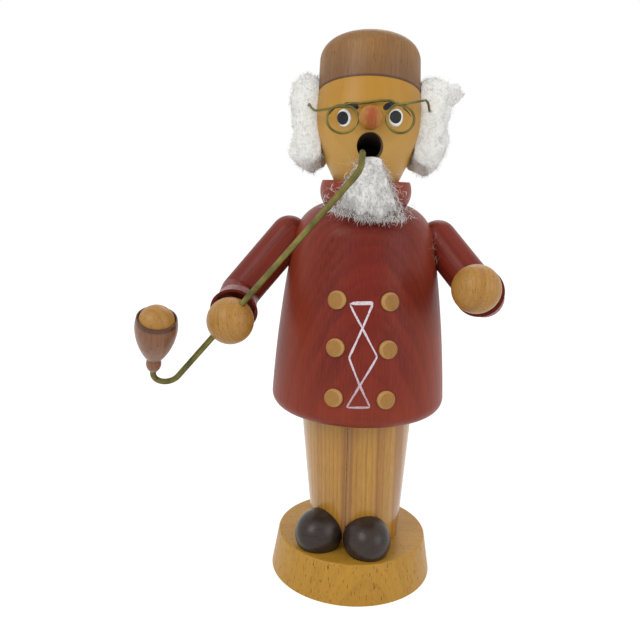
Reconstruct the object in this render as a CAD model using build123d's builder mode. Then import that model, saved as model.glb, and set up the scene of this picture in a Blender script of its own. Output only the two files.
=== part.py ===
from build123d import *
import os
from math import asin, atan2, cos, degrees, radians, sin, sqrt

os.makedirs("parts", exist_ok=True)

# German incense smoker: a turned wooden figure that lifts off its stand, so that an
# incense cone can smoulder on the metal plate inside its hollow coat. Millimetres, +Z up,
# origin at the centre of the base's underside. The figure faces -Y, and left and right
# are as a viewer in front sees them.

# Fits
glue_gap = 0.05
spigot_clearance = 0.1
cut_overrun = 2.0

# Base
base_thickness = 14.6
base_bottom_radius = 30.85
base_top_radius = 28.4
base_edge_round = 0.8

# Legs: one cone with a groove front and back, and the spigot that carries the figure
legs_height = 51.1
legs_foot_radius = 16.7
legs_hip_radius = 21.0
legs_foot_offset = 1.3
legs_turn = -10.0
groove_width = 1.1
groove_depth = 1.5
spigot_height = 8.0
leg_dowel_radius = 4.0
leg_dowel_in_base = 8.0
leg_dowel_in_legs = 14.0

# Shoes: half eggs, flat below and coped to the legs
shoe_radius = 8.8
shoe_toe_radius = 5.0
shoe_toe_reach = 9.7
shoe_centre_radius = 18.6
shoe_centre_height = 4.6
shoe_azimuths = {"left_shoe": -33.0, "right_shoe": 25.0}
shoe_pin_radius = 1.5
shoe_pin_offset = 1.8
shoe_pin_in_base = 5.0
shoe_pin_in_shoe = 6.0

# Incense plate and its nail
plate_radius = 13.0
plate_flat_radius = 10.5
plate_thickness = 0.5
plate_rim_rise = 2.2
nail_radius = 0.8
nail_length = 9.0
nail_head_radius = 2.2
nail_head_thickness = 0.6

# Coat: a hollow bell with a rolled hem
coat_height = 74.6
coat_bore_radius = 19.0
chamber_height = 58.3
chamber_corner_radius = 8.0
hem_radius = 32.05
hem_roll_radius = 5.05
shoulder_radius = 25.0
shoulder_drop = 10.6
side_bulge_depth = 0.95
shoulder_bulge_depth = 1.77
coat_top_radius = 15.5

# Collar
collar_height = 8.2
collar_foot_radius = 14.9
collar_radius = 16.3
collar_widest_height = 5.1
collar_rim_radius = 15.6
collar_bore_radius = 14.0
collar_foot_bore_radius = 13.2

# Buttons
button_radius = 3.1
button_proud = 1.2
button_seat_depth = 0.35
button_bevel = 0.5
button_spacing = 17.3
button_heights = {"top": 43.8, "middle": 28.1, "bottom": 11.25}
button_tenon_radius = 1.2
button_tenon_length = 3.5
front_azimuth = -1.6

# Head, neck and hat, in a frame that leans back and turns a little
head_lean = 13.0
head_turn = -1.5
head_radius = 18.85
head_height = 37.0
head_top_radius = 18.3
neck_radius = 9.0
neck_drop = 6.0
jaw_shares = ((0.764, 0.324), (0.942, 0.554), (1.0, 0.85))
neck_tube_radius = 6.0
neck_bore_radius = 4.0
neck_tube_in_coat = 10.0
neck_tube_in_head = 8.0
mouth_radius = 4.1
mouth_height = 8.4
nose_radius = 4.0
nose_height = 16.2
nose_reach = 20.4
nose_tenon_radius = 1.5
nose_tenon_length = 4.0
hat_radius = 18.4
hat_top_radius = 18.05
hat_side_height = 12.3
hat_height = 20.0
hat_crown_radius = 12.0
hat_crown_drop = 1.7
hat_edge_bulge_depth = 1.6
hat_dowel_radius = 4.0
hat_dowel_length = 14.0

# Arms: an upper arm and a sleeve meet in a mitred elbow, and a ball stands for each hand
arm_radius = 7.0
shoulder_reach = 1.8
shoulder_below_top = 11.7
upper_arm_length = 27.7
hand_reach = 20.0
hand_radius = 8.0
hand_standoff = 7.0
cuff_length = 6.5
cuff_radius = 8.3
cuff_wall = 1.0
cuff_hollow_depth = 0.25
socket_depth = 5.5
socket_floor_radius = 6.4
upper_arm_shares = {"left": (-0.622, -0.170, -0.764), "right": (0.539, -0.506, -0.673)}
sleeve_shares = {"left": (-0.046, -0.941, -0.335), "right": (-0.351, -0.897, 0.268)}
peg_radius = 2.0
peg_in_hand = 4.0
peg_in_sleeve = 3.0
shoulder_dowel_radius = 2.0
shoulder_dowel_in_coat = 7.0
shoulder_dowel_in_arm = 5.5
elbow_dowel_radius = 1.5
elbow_dowel_length = 7.0

# Pipe: a bent brass rod from the mouth through the left hand to the bowl
rod_radius = 1.025
mouth_rod_side = -1.7
mouth_rod_depth = 7.4
mouth_rod_drop = -1.55
bend_side = -2.95
bend_front = 17.9
bend_drop = 3.35
corner_side = -3.55
corner_front = 24.05
corner_drop = 8.5
upper_bend_radius = 5.0
hand_rod_offset = (-0.8, -1.29, 0.36)
rod_below_hand = 44.8
lower_bend_radius = 4.7
bowl_axis_shares = (0.175, -0.43, 0.886)
ring_start = 18.0
ring_height = 5.0
ring_radius = 2.55
ring_widest_height = 3.3
ring_foot_radius = 1.5
ring_top_radius = 2.1
bowl_height = 17.4
bowl_radius = 6.95
bowl_foot_radius = 2.3
bowl_rim_radius = 6.5
bowl_widest_height = 13.6
bowl_foot_bulge_depth = 1.0
bowl_rim_bulge_depth = 0.11
rod_in_bowl = 4.0
bead_radius = 6.0
bead_sunk = 2.0

# Spectacles: one brass wire, looped once round each lens; its second pass over the top of
# a lens lies in front of the first. Temple places are distances to the side, to the front
# and up from the head's origin.
wire_radius = 0.4
lens_ring_radius = 5.15
lens_bend_radius = 5.0
lens_corners = 8
lens_crossing_gap = 1.3
lens_spacing = 19.2
lens_height = 15.8
lens_reach = 19.5
bridge_rise = 0.85
bridge_front = 0.5
bridge_bend_radius = 5.0
temple_places = ((13.4, 19.7, 21.3), (19.9, 11.6, 22.0), (22.2, 7.2, 24.0), (22.6, 0.5, 24.6))
temple_bend_radius = 2.0

# Hair and beard, of wool. The hair's outline is radii at heights above the head's origin.
# A section of the beard is its height above the mouth, its distances to the left and to
# the front, and its half width and half thickness.
hair_front_azimuth = 84.0
hair_outline = (
    (18.0, -0.5),
    (20.5, 1.5),
    (25.5, 4.5),
    (29.0, 9.0),
    (28.2, 24.0),
    (30.5, 30.5),
    (29.6, 36.0),
)
hair_top = 38.5
hair_inner_radius = 14.5
beard_sections = (
    (-26.4, 0.6, 24.6, 12.8, 1.5),
    (-23.9, 0.6, 23.2, 13.8, 3.2),
    (-17.4, 0.7, 19.6, 11.0, 4.0),
    (-11.4, 0.8, 16.6, 7.4, 3.4),
    (-4.9, 0.9, 13.6, 4.4, 1.6),
)

# Heights and frames that follow
seat_height = base_thickness + legs_height
spigot_radius = coat_bore_radius - spigot_clearance
spigot_top = seat_height + spigot_height
coat_top = seat_height + coat_height
neck_origin_height = coat_top + collar_height
pin_centre_radius = shoe_centre_radius + shoe_pin_offset


def leaning_plane(origin, lean, turn):
    """Plane with its Z leant back by lean degrees from world Z, then turned by turn about it."""
    back = Vector(0, sin(radians(lean)), cos(radians(lean))).rotate(Axis.Z, turn)
    side = Vector(1, 0, 0).rotate(Axis.Z, turn)
    return Plane(origin=origin, x_dir=side, z_dir=back)


def turning_plane(origin, along):
    """Plane of a half profile: its X is the radius and its Y runs along the piece's axis."""
    axis = Vector(*along).normalized()
    radial = axis.cross(Vector(0, 1, 0)).normalized()
    return Plane(origin=origin, x_dir=radial, z_dir=radial.cross(axis))


def azimuth_direction(azimuth):
    """Level direction at an angle from the front, -Y, positive towards the viewer's right."""
    return Vector(sin(radians(azimuth)), -cos(radians(azimuth)), 0)


def arc_radius_at(start, end, bulge, height):
    """Radius, and outward normal, of a profile arc at a height."""
    chord = sqrt((end[0] - start[0]) ** 2 + (end[1] - start[1]) ** 2)
    arc = (chord * chord / 4 + bulge * bulge) / (2 * bulge)
    outward = ((end[1] - start[1]) / chord, (start[0] - end[0]) / chord)
    centre_x = (start[0] + end[0]) / 2 - outward[0] * (arc - bulge)
    centre_y = (start[1] + end[1]) / 2 - outward[1] * (arc - bulge)
    across = sqrt(arc * arc - (height - centre_y) ** 2)
    return centre_x + across, (across / arc, (height - centre_y) / arc)


def bulged_arc(start, end, bulge):
    """Arc of a profile whose middle stands out from its chord by bulge, to the chord's right."""
    chord = sqrt((end[0] - start[0]) ** 2 + (end[1] - start[1]) ** 2)
    middle_x = (start[0] + end[0]) / 2 + (end[1] - start[1]) / chord * bulge
    middle_y = (start[1] + end[1]) / 2 - (end[0] - start[0]) / chord * bulge
    return ThreePointArc(start, (middle_x, middle_y), end)


def leg_cone(gap):
    """The legs' cone, grown by a gap, tilted so that its foot stands to the right of its top."""
    foot = Vector(legs_foot_offset, 0, base_thickness)
    tilt = Vector(-legs_foot_offset, 0, legs_height)
    flare = (legs_hip_radius - legs_foot_radius) / legs_height * cut_overrun
    with BuildPart() as cone:
        with BuildSketch(turning_plane(foot, tilt)):
            Polygon(
                (0, -cut_overrun),
                (legs_foot_radius + gap - flare, -cut_overrun),
                (legs_hip_radius + gap + flare, legs_height + cut_overrun),
                (0, legs_height + cut_overrun),
                align=None,
            )
        revolve(axis=Axis(foot, tilt))
        split(bisect_by=Plane.XY.offset(base_thickness), keep=Keep.TOP)
        split(bisect_by=Plane.XY.offset(seat_height), keep=Keep.BOTTOM)
    return cone.part


def save(piece, name):
    """Label a piece and write it to its own file."""
    piece.label = name
    export_step(piece, f"parts/{name}.step")


# Base
with BuildPart() as base:
    with BuildSketch(Plane.XZ):
        Polygon(
            (0, 0),
            (base_bottom_radius, 0),
            (base_top_radius, base_thickness),
            (0, base_thickness),
            align=None,
        )
    revolve(axis=Axis.Z)
    fillet(base.edges().filter_by(GeomType.CIRCLE).group_by(Axis.Z)[-1], base_edge_round)
    with BuildSketch(Plane.XY.offset(base_thickness)):
        Circle(leg_dowel_radius + glue_gap)
    extrude(amount=-leg_dowel_in_base - glue_gap, mode=Mode.SUBTRACT)
    for shoe_azimuth in shoe_azimuths.values():
        pin_place = azimuth_direction(legs_turn + shoe_azimuth) * pin_centre_radius
        with BuildSketch(Plane(origin=(pin_place.X, pin_place.Y, base_thickness))):
            Circle(shoe_pin_radius + glue_gap)
        extrude(amount=-shoe_pin_in_base - glue_gap, mode=Mode.SUBTRACT)
save(base.part, "base")

# Legs
with BuildPart() as legs:
    add(leg_cone(0))
    with BuildSketch(Plane.XY.offset(seat_height)):
        Circle(spigot_radius)
    extrude(amount=spigot_height)
    for groove_azimuth in (legs_turn, legs_turn + 180):
        groove_direction = azimuth_direction(groove_azimuth)
        groove_plane = Plane(
            origin=(0, 0, 0),
            x_dir=groove_direction,
            z_dir=groove_direction.cross(Vector(0, 0, 1)),
        )
        with BuildSketch(groove_plane):
            Polygon(
                (legs_foot_radius - groove_depth, base_thickness),
                (legs_foot_radius + cut_overrun, base_thickness),
                (legs_hip_radius + cut_overrun, seat_height),
                (legs_hip_radius - groove_depth, seat_height),
                align=None,
            )
        extrude(amount=groove_width / 2, both=True, mode=Mode.SUBTRACT)
    with BuildSketch(Plane.XY.offset(base_thickness)):
        Circle(leg_dowel_radius + glue_gap)
    extrude(amount=leg_dowel_in_legs + glue_gap, mode=Mode.SUBTRACT)
    with BuildSketch(Plane.XY.offset(spigot_top)):
        Circle(nail_radius + glue_gap)
    extrude(amount=-nail_length, mode=Mode.SUBTRACT)
save(legs.part, "legs")

with BuildPart() as leg_dowel:
    with BuildSketch(Plane.XY.offset(base_thickness - leg_dowel_in_base)):
        Circle(leg_dowel_radius)
    extrude(amount=leg_dowel_in_base + leg_dowel_in_legs)
save(leg_dowel.part, "leg_dowel")

# Shoes
toe_centre = shoe_toe_reach - shoe_toe_radius
instep_radius = (toe_centre**2 + shoe_radius**2 - shoe_toe_radius**2) / (
    2 * (shoe_radius - shoe_toe_radius)
)
toe_angle = degrees(atan2(instep_radius - shoe_radius, toe_centre))
for shoe_name, shoe_azimuth in shoe_azimuths.items():
    shoe_toe = azimuth_direction(legs_turn + shoe_azimuth)
    shoe_place = shoe_toe * shoe_centre_radius
    shoe_centre = Vector(shoe_place.X, shoe_place.Y, base_thickness + shoe_centre_height)
    with BuildPart() as shoe:
        with BuildSketch(
            Plane(origin=shoe_centre, x_dir=shoe_toe, z_dir=shoe_toe.cross(Vector(0, 0, 1)))
        ):
            with BuildLine():
                CenterArc((toe_centre, 0), shoe_toe_radius, start_angle=0, arc_size=toe_angle)
                CenterArc(
                    (0, shoe_radius - instep_radius),
                    instep_radius,
                    start_angle=toe_angle,
                    arc_size=90 - toe_angle,
                )
                CenterArc((0, 0), shoe_radius, start_angle=90, arc_size=90)
                Line((-shoe_radius, 0), (shoe_toe_reach, 0))
            make_face()
        revolve(axis=Axis(shoe_centre, shoe_toe))
        split(bisect_by=Plane.XY.offset(base_thickness), keep=Keep.TOP)
        add(leg_cone(glue_gap), mode=Mode.SUBTRACT)
        pin_place = shoe_toe * pin_centre_radius
        with BuildSketch(Plane(origin=(pin_place.X, pin_place.Y, base_thickness))):
            Circle(shoe_pin_radius + glue_gap)
        extrude(amount=shoe_pin_in_shoe + glue_gap, mode=Mode.SUBTRACT)
    save(shoe.part, shoe_name)

with BuildPart() as shoe_pins:
    for shoe_azimuth in shoe_azimuths.values():
        pin_place = azimuth_direction(legs_turn + shoe_azimuth) * pin_centre_radius
        pin_foot = (pin_place.X, pin_place.Y, base_thickness - shoe_pin_in_base)
        with BuildSketch(Plane(origin=pin_foot)):
            Circle(shoe_pin_radius)
        extrude(amount=shoe_pin_in_base + shoe_pin_in_shoe)
save(shoe_pins.part, "shoe_pins")

# Incense plate: a pressed dish nailed to the top of the spigot
with BuildPart() as incense_plate:
    with BuildSketch(Plane.XZ):
        Polygon(
            (nail_radius + glue_gap, spigot_top),
            (plate_flat_radius, spigot_top),
            (plate_radius, spigot_top + plate_rim_rise),
            (plate_radius - plate_thickness, spigot_top + plate_rim_rise + plate_thickness),
            (plate_flat_radius - plate_thickness, spigot_top + plate_thickness),
            (nail_radius + glue_gap, spigot_top + plate_thickness),
            align=None,
        )
    revolve(axis=Axis.Z)
save(incense_plate.part, "incense_plate")

nail_top = spigot_top + plate_thickness
with BuildPart() as plate_nail:
    with BuildSketch(Plane.XY.offset(nail_top)):
        Circle(nail_head_radius)
    extrude(amount=nail_head_thickness)
    with BuildSketch(Plane.XY.offset(nail_top)):
        Circle(nail_radius)
    extrude(amount=-nail_length)
save(plate_nail.part, "plate_nail")

# Coat
hem_side = (hem_radius, seat_height + hem_roll_radius)
shoulder_edge = (shoulder_radius, coat_top - shoulder_drop)
head_frame = leaning_plane((0, 0, neck_origin_height), head_lean, head_turn)
head_axis = Axis(head_frame.origin, head_frame.z_dir)
head_profile_plane = Plane(
    origin=head_frame.origin, x_dir=head_frame.x_dir, z_dir=-head_frame.y_dir
)

with BuildPart() as coat_block:
    with BuildSketch(Plane.XZ):
        with BuildLine():
            Line((0, seat_height), (hem_radius - hem_roll_radius, seat_height))
            CenterArc(
                (hem_radius - hem_roll_radius, seat_height + hem_roll_radius),
                hem_roll_radius,
                start_angle=270,
                arc_size=90,
            )
            bulged_arc(hem_side, shoulder_edge, side_bulge_depth)
            bulged_arc(shoulder_edge, (coat_top_radius, coat_top), shoulder_bulge_depth)
            Line((coat_top_radius, coat_top), (0, coat_top))
            Line((0, coat_top), (0, seat_height))
        make_face()
    revolve(axis=Axis.Z)

button_frames = {}
for row, row_height in button_heights.items():
    surface_radius, normal = arc_radius_at(
        hem_side, shoulder_edge, side_bulge_depth, seat_height + row_height
    )
    half_angle = degrees(asin(button_spacing / 2 / surface_radius))
    for side_name, side in (("left", -1), ("right", 1)):
        outward = azimuth_direction(front_azimuth + side * half_angle)
        place = outward * surface_radius + Vector(0, 0, seat_height + row_height)
        facing = outward * normal[0] + Vector(0, 0, normal[1])
        button_frames[f"{row}_{side_name}_button"] = Plane(
            origin=place - facing * button_seat_depth, z_dir=facing
        )

shoulder_height = coat_top - shoulder_below_top
shoulder_wall_radius = arc_radius_at(hem_side, shoulder_edge, side_bulge_depth, shoulder_height)[0]
shoulder_centre_radius = shoulder_wall_radius + shoulder_reach
side_signs = {"left": -1, "right": 1}

with BuildPart() as coat:
    add(coat_block.part)
    with BuildSketch(head_frame.offset(-neck_drop)):
        Circle(neck_radius)
    extrude(amount=-neck_tube_in_coat)
    with BuildSketch(Plane.XZ):
        with BuildLine():
            chamber_top = seat_height + chamber_height
            Line((0, seat_height), (coat_bore_radius, seat_height))
            Line((coat_bore_radius, seat_height), (coat_bore_radius, chamber_top - chamber_corner_radius))
            CenterArc(
                (coat_bore_radius - chamber_corner_radius, chamber_top - chamber_corner_radius),
                chamber_corner_radius,
                start_angle=0,
                arc_size=90,
            )
            Line((coat_bore_radius - chamber_corner_radius, chamber_top), (0, chamber_top))
            Line((0, chamber_top), (0, seat_height))
        make_face()
    revolve(axis=Axis.Z, mode=Mode.SUBTRACT)
    with BuildSketch(head_frame.offset(-neck_drop)):
        Circle(neck_tube_radius + glue_gap)
    extrude(amount=-neck_tube_in_coat, mode=Mode.SUBTRACT)
    with BuildSketch(head_frame.offset(-neck_drop)):
        Circle(neck_bore_radius)
    extrude(amount=-(neck_origin_height - chamber_top), mode=Mode.SUBTRACT)
    for button_frame in button_frames.values():
        with BuildSketch(button_frame):
            Circle(button_radius + glue_gap)
        extrude(amount=cut_overrun, mode=Mode.SUBTRACT)
        with BuildSketch(button_frame):
            Circle(button_tenon_radius + glue_gap)
        extrude(amount=-button_tenon_length - glue_gap, mode=Mode.SUBTRACT)
    for sign in side_signs.values():
        dowel_place = (sign * (shoulder_wall_radius - shoulder_dowel_in_coat), 0, shoulder_height)
        with BuildSketch(Plane(origin=dowel_place, z_dir=(sign, 0, 0))):
            Circle(shoulder_dowel_radius + glue_gap)
        extrude(amount=shoulder_dowel_in_coat + cut_overrun, mode=Mode.SUBTRACT)
save(coat.part, "coat")

# Buttons
for button_name, button_frame in button_frames.items():
    button_face = button_seat_depth + button_proud
    with BuildPart() as button:
        with BuildSketch(turning_plane(button_frame.origin, button_frame.z_dir)):
            Polygon(
                (0, -button_tenon_length),
                (button_tenon_radius, -button_tenon_length),
                (button_tenon_radius, 0),
                (button_radius, 0),
                (button_radius, button_face - button_bevel),
                (button_radius - button_bevel, button_face),
                (0, button_face),
                align=None,
            )
        revolve(axis=Axis(button_frame.origin, button_frame.z_dir))
    save(button.part, button_name)

# Collar
with BuildPart() as collar:
    with BuildSketch(Plane.XZ):
        with BuildLine():
            collar_top = coat_top + collar_height
            ThreePointArc(
                (collar_foot_radius, coat_top),
                (collar_radius, coat_top + collar_widest_height),
                (collar_rim_radius, collar_top),
            )
            Polyline(
                (collar_rim_radius, collar_top),
                (collar_bore_radius, collar_top),
                (collar_foot_bore_radius, coat_top),
                (collar_foot_radius, coat_top),
            )
        make_face()
    revolve(axis=Axis.Z)
save(collar.part, "collar")

# Arms
shoulder_dowel_length = shoulder_dowel_in_coat + shoulder_reach + shoulder_dowel_in_arm
sleeve_length = hand_reach - hand_standoff
peg_length = hand_reach - peg_in_hand - (sleeve_length - socket_depth - peg_in_sleeve)
shoulders = {}
elbows = {}
hands = {}
upper_directions = {}
sleeve_directions = {}
for side_name, sign in side_signs.items():
    upper_directions[side_name] = Vector(*upper_arm_shares[side_name]).normalized()
    sleeve_directions[side_name] = Vector(*sleeve_shares[side_name]).normalized()
    shoulders[side_name] = Vector(sign * shoulder_centre_radius, 0, shoulder_height)
    elbows[side_name] = shoulders[side_name] + upper_directions[side_name] * upper_arm_length
    hands[side_name] = elbows[side_name] + sleeve_directions[side_name] * hand_reach

for side_name, sign in side_signs.items():
    elbow = elbows[side_name]
    elbow_axis = (upper_directions[side_name] + sleeve_directions[side_name]).normalized()
    mitre = Plane(origin=elbow, z_dir=elbow_axis)
    dowel_start = (sign * (shoulder_wall_radius - shoulder_dowel_in_coat), 0, shoulder_height)
    with BuildPart() as upper_arm:
        with BuildSketch(Plane(origin=shoulders[side_name], z_dir=upper_directions[side_name])):
            Circle(arm_radius)
        extrude(amount=upper_arm_length)
        with Locations(shoulders[side_name], elbow):
            Sphere(arm_radius)
        split(bisect_by=mitre, keep=Keep.BOTTOM)
        add(coat_block.part, mode=Mode.SUBTRACT)
        with BuildSketch(Plane(origin=dowel_start, z_dir=(sign, 0, 0))):
            Circle(shoulder_dowel_radius + glue_gap)
        extrude(amount=shoulder_dowel_length + glue_gap, mode=Mode.SUBTRACT)
        with BuildSketch(mitre):
            Circle(elbow_dowel_radius + glue_gap)
        extrude(amount=-elbow_dowel_length / 2 - glue_gap, mode=Mode.SUBTRACT)
    save(upper_arm.part, f"{side_name}_upper_arm")

    sleeve_axis = Axis(elbow, sleeve_directions[side_name])
    with BuildPart() as sleeve:
        with BuildSketch(turning_plane(elbow, sleeve_directions[side_name])):
            with BuildLine():
                Polyline((0, 0), (arm_radius, 0), (arm_radius, sleeve_length - cuff_length))
                bulged_arc(
                    (arm_radius, sleeve_length - cuff_length),
                    (cuff_radius, sleeve_length),
                    -cuff_hollow_depth,
                )
                Polyline(
                    (cuff_radius, sleeve_length),
                    (cuff_radius - cuff_wall, sleeve_length),
                    (socket_floor_radius, sleeve_length - socket_depth),
                    (0, sleeve_length - socket_depth),
                    (0, 0),
                )
            make_face()
        revolve(axis=sleeve_axis)
        with Locations(elbow):
            Sphere(arm_radius)
        split(bisect_by=mitre, keep=Keep.TOP)
        with BuildSketch(mitre):
            Circle(elbow_dowel_radius + glue_gap)
        extrude(amount=elbow_dowel_length / 2 + glue_gap, mode=Mode.SUBTRACT)
        peg_plane = Plane(origin=hands[side_name], z_dir=sleeve_directions[side_name])
        with BuildSketch(peg_plane.offset(-peg_in_hand)):
            Circle(peg_radius + glue_gap)
        extrude(amount=-peg_length - glue_gap, mode=Mode.SUBTRACT)
    save(sleeve.part, f"{side_name}_sleeve")

with BuildPart() as shoulder_dowels:
    for sign in side_signs.values():
        dowel_start = (sign * (shoulder_wall_radius - shoulder_dowel_in_coat), 0, shoulder_height)
        with BuildSketch(Plane(origin=dowel_start, z_dir=(sign, 0, 0))):
            Circle(shoulder_dowel_radius)
        extrude(amount=shoulder_dowel_length)
save(shoulder_dowels.part, "shoulder_dowels")

with BuildPart() as elbow_dowels:
    for side_name in side_signs:
        elbow_axis = (upper_directions[side_name] + sleeve_directions[side_name]).normalized()
        with BuildSketch(Plane(origin=elbows[side_name], z_dir=elbow_axis)):
            Circle(elbow_dowel_radius)
        extrude(amount=elbow_dowel_length / 2, both=True)
save(elbow_dowels.part, "elbow_dowels")

with BuildPart() as hand_pegs:
    for side_name in side_signs:
        peg_plane = Plane(origin=hands[side_name], z_dir=sleeve_directions[side_name])
        with BuildSketch(peg_plane.offset(-peg_in_hand)):
            Circle(peg_radius)
        extrude(amount=-peg_length)
save(hand_pegs.part, "hand_pegs")

# Pipe route: mouth, two bends in front of the beard, hand, hook, bowl
mouth_face_radius = head_radius * jaw_shares[0][0]
mouth_centre = head_frame.from_local_coords((0, -mouth_face_radius, mouth_height))
rod_end = mouth_centre + Vector(mouth_rod_side, mouth_rod_depth, mouth_rod_drop)
mouth_bend = mouth_centre + Vector(bend_side, -bend_front, -bend_drop)
upper_corner = mouth_centre + Vector(corner_side, -corner_front, -corner_drop)
rod_in_hand = hands["left"] + Vector(*hand_rod_offset)
rod_direction = (rod_in_hand - upper_corner).normalized()
lower_corner = rod_in_hand + rod_direction * rod_below_hand
bowl_direction = Vector(*bowl_axis_shares).normalized()
bowl_foot = lower_corner + bowl_direction * (ring_start + ring_height)
stem_end = bowl_foot + bowl_direction * rod_in_bowl

with BuildPart() as pipe_stem:
    with BuildLine():
        FilletPolyline(
            rod_end,
            mouth_bend,
            upper_corner,
            lower_corner,
            stem_end,
            radius=[upper_bend_radius, upper_bend_radius, lower_bend_radius],
        )
    with BuildSketch(Plane(origin=rod_end, z_dir=mouth_bend - rod_end)):
        Circle(rod_radius)
    sweep()
save(pipe_stem.part, "pipe_stem")

with BuildPart() as pipe_ring:
    with BuildSketch(turning_plane(lower_corner + bowl_direction * ring_start, bowl_direction)):
        with BuildLine():
            ThreePointArc(
                (ring_foot_radius, 0),
                (ring_radius, ring_widest_height),
                (ring_top_radius, ring_height),
            )
            Polyline(
                (ring_top_radius, ring_height),
                (rod_radius + glue_gap, ring_height),
                (rod_radius + glue_gap, 0),
                (ring_foot_radius, 0),
            )
        make_face()
    revolve(axis=Axis(lower_corner, bowl_direction))
save(pipe_ring.part, "pipe_ring")

bead_height = bowl_height - bead_sunk
bead_bore_radius = bead_radius + glue_gap
with BuildPart() as pipe_bowl:
    with BuildSketch(turning_plane(bowl_foot, bowl_direction)):
        with BuildLine():
            Line((0, 0), (bowl_foot_radius, 0))
            bulged_arc((bowl_foot_radius, 0), (bowl_radius, bowl_widest_height), bowl_foot_bulge_depth)
            bulged_arc(
                (bowl_radius, bowl_widest_height),
                (bowl_rim_radius, bowl_height),
                bowl_rim_bulge_depth,
            )
            Polyline(
                (bowl_rim_radius, bowl_height),
                (bead_bore_radius, bowl_height),
                (bead_bore_radius, bead_height),
            )
            CenterArc((0, bead_height), bead_bore_radius, start_angle=0, arc_size=-90)
            Line((0, bead_height - bead_bore_radius), (0, 0))
        make_face()
    revolve(axis=Axis(bowl_foot, bowl_direction))
    with BuildSketch(Plane(origin=bowl_foot, z_dir=bowl_direction)):
        Circle(rod_radius + glue_gap)
    extrude(amount=rod_in_bowl + glue_gap, mode=Mode.SUBTRACT)
save(pipe_bowl.part, "pipe_bowl")

with BuildPart() as pipe_bead:
    with Locations(bowl_foot + bowl_direction * bead_height):
        Sphere(bead_radius)
save(pipe_bead.part, "pipe_bead")

# Hands
for side_name in side_signs:
    with BuildPart() as hand:
        with Locations(hands[side_name]):
            Sphere(hand_radius)
        peg_plane = Plane(origin=hands[side_name], z_dir=sleeve_directions[side_name])
        with BuildSketch(peg_plane.offset(-peg_in_hand)):
            Circle(peg_radius + glue_gap)
        extrude(amount=-hand_radius, mode=Mode.SUBTRACT)
        if side_name == "left":
            with BuildSketch(Plane(origin=rod_in_hand, z_dir=rod_direction)):
                Circle(rod_radius + glue_gap)
            extrude(amount=hand_radius + cut_overrun, both=True, mode=Mode.SUBTRACT)
    save(hand.part, f"{side_name}_hand")

# Neck tube
with BuildPart() as neck_tube:
    with BuildSketch(head_frame.offset(-neck_drop - neck_tube_in_coat)):
        Circle(neck_tube_radius)
        Circle(neck_bore_radius, mode=Mode.SUBTRACT)
    extrude(amount=neck_tube_in_coat + neck_tube_in_head)
save(neck_tube.part, "neck_tube")

# Head: an egg with a smoke channel from the neck to the mouth
head_top = head_height - neck_drop
nose_centre = head_frame.from_local_coords((0, -nose_reach, nose_height))
face_direction = -head_frame.y_dir
with BuildPart() as head:
    with BuildSketch(head_profile_plane):
        with BuildLine():
            Line((0, -neck_drop), (neck_radius, -neck_drop))
            jaw = [
                (radius_share * head_radius, height_share * head_height - neck_drop)
                for radius_share, height_share in jaw_shares
            ]
            Spline((neck_radius, -neck_drop), *jaw, (head_top_radius, head_top))
            Line((head_top_radius, head_top), (0, head_top))
            Line((0, head_top), (0, -neck_drop))
        make_face()
    revolve(axis=head_axis)
    with BuildSketch(head_frame.offset(-neck_drop)):
        Circle(neck_tube_radius + glue_gap)
    extrude(amount=neck_tube_in_head + glue_gap, mode=Mode.SUBTRACT)
    with BuildSketch(head_frame.offset(-neck_drop)):
        Circle(neck_bore_radius)
    extrude(amount=neck_drop + mouth_height + mouth_radius, mode=Mode.SUBTRACT)
    with BuildSketch(
        Plane(origin=head_frame.from_local_coords((0, 0, mouth_height)), z_dir=face_direction)
    ):
        Circle(mouth_radius)
    extrude(amount=head_radius + cut_overrun, mode=Mode.SUBTRACT)
    with Locations(nose_centre):
        Sphere(nose_radius + glue_gap, mode=Mode.SUBTRACT)
    with BuildSketch(Plane(origin=nose_centre, z_dir=-face_direction)):
        Circle(nose_tenon_radius + glue_gap)
    extrude(amount=nose_radius + nose_tenon_length + glue_gap, mode=Mode.SUBTRACT)
    with BuildSketch(head_frame.offset(head_top)):
        Circle(hat_dowel_radius + glue_gap)
    extrude(amount=-hat_dowel_length / 2 - glue_gap, mode=Mode.SUBTRACT)
save(head.part, "head")

with BuildPart() as nose:
    with Locations(nose_centre):
        Sphere(nose_radius)
    with BuildSketch(Plane(origin=nose_centre, z_dir=-face_direction)):
        Circle(nose_tenon_radius)
    extrude(amount=nose_radius + nose_tenon_length)
save(nose.part, "nose")

# Hat
with BuildPart() as hat:
    with BuildSketch(head_profile_plane):
        with BuildLine():
            hat_edge = (hat_top_radius, head_top + hat_side_height)
            hat_crown = (hat_crown_radius, head_top + hat_height - hat_crown_drop)
            Polyline((0, head_top), (hat_radius, head_top), hat_edge)
            bulged_arc(hat_edge, hat_crown, hat_edge_bulge_depth)
            TangentArc((0, head_top + hat_height), hat_crown, tangent=(1, 0))
            Line((0, head_top + hat_height), (0, head_top))
        make_face()
    revolve(axis=head_axis)
    with BuildSketch(head_frame.offset(head_top)):
        Circle(hat_dowel_radius + glue_gap)
    extrude(amount=hat_dowel_length / 2 + glue_gap, mode=Mode.SUBTRACT)
save(hat.part, "hat")

with BuildPart() as hat_dowel:
    with BuildSketch(head_frame.offset(head_top)):
        Circle(hat_dowel_radius)
    extrude(amount=hat_dowel_length / 2, both=True)
save(hat_dowel.part, "hat_dowel")

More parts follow.
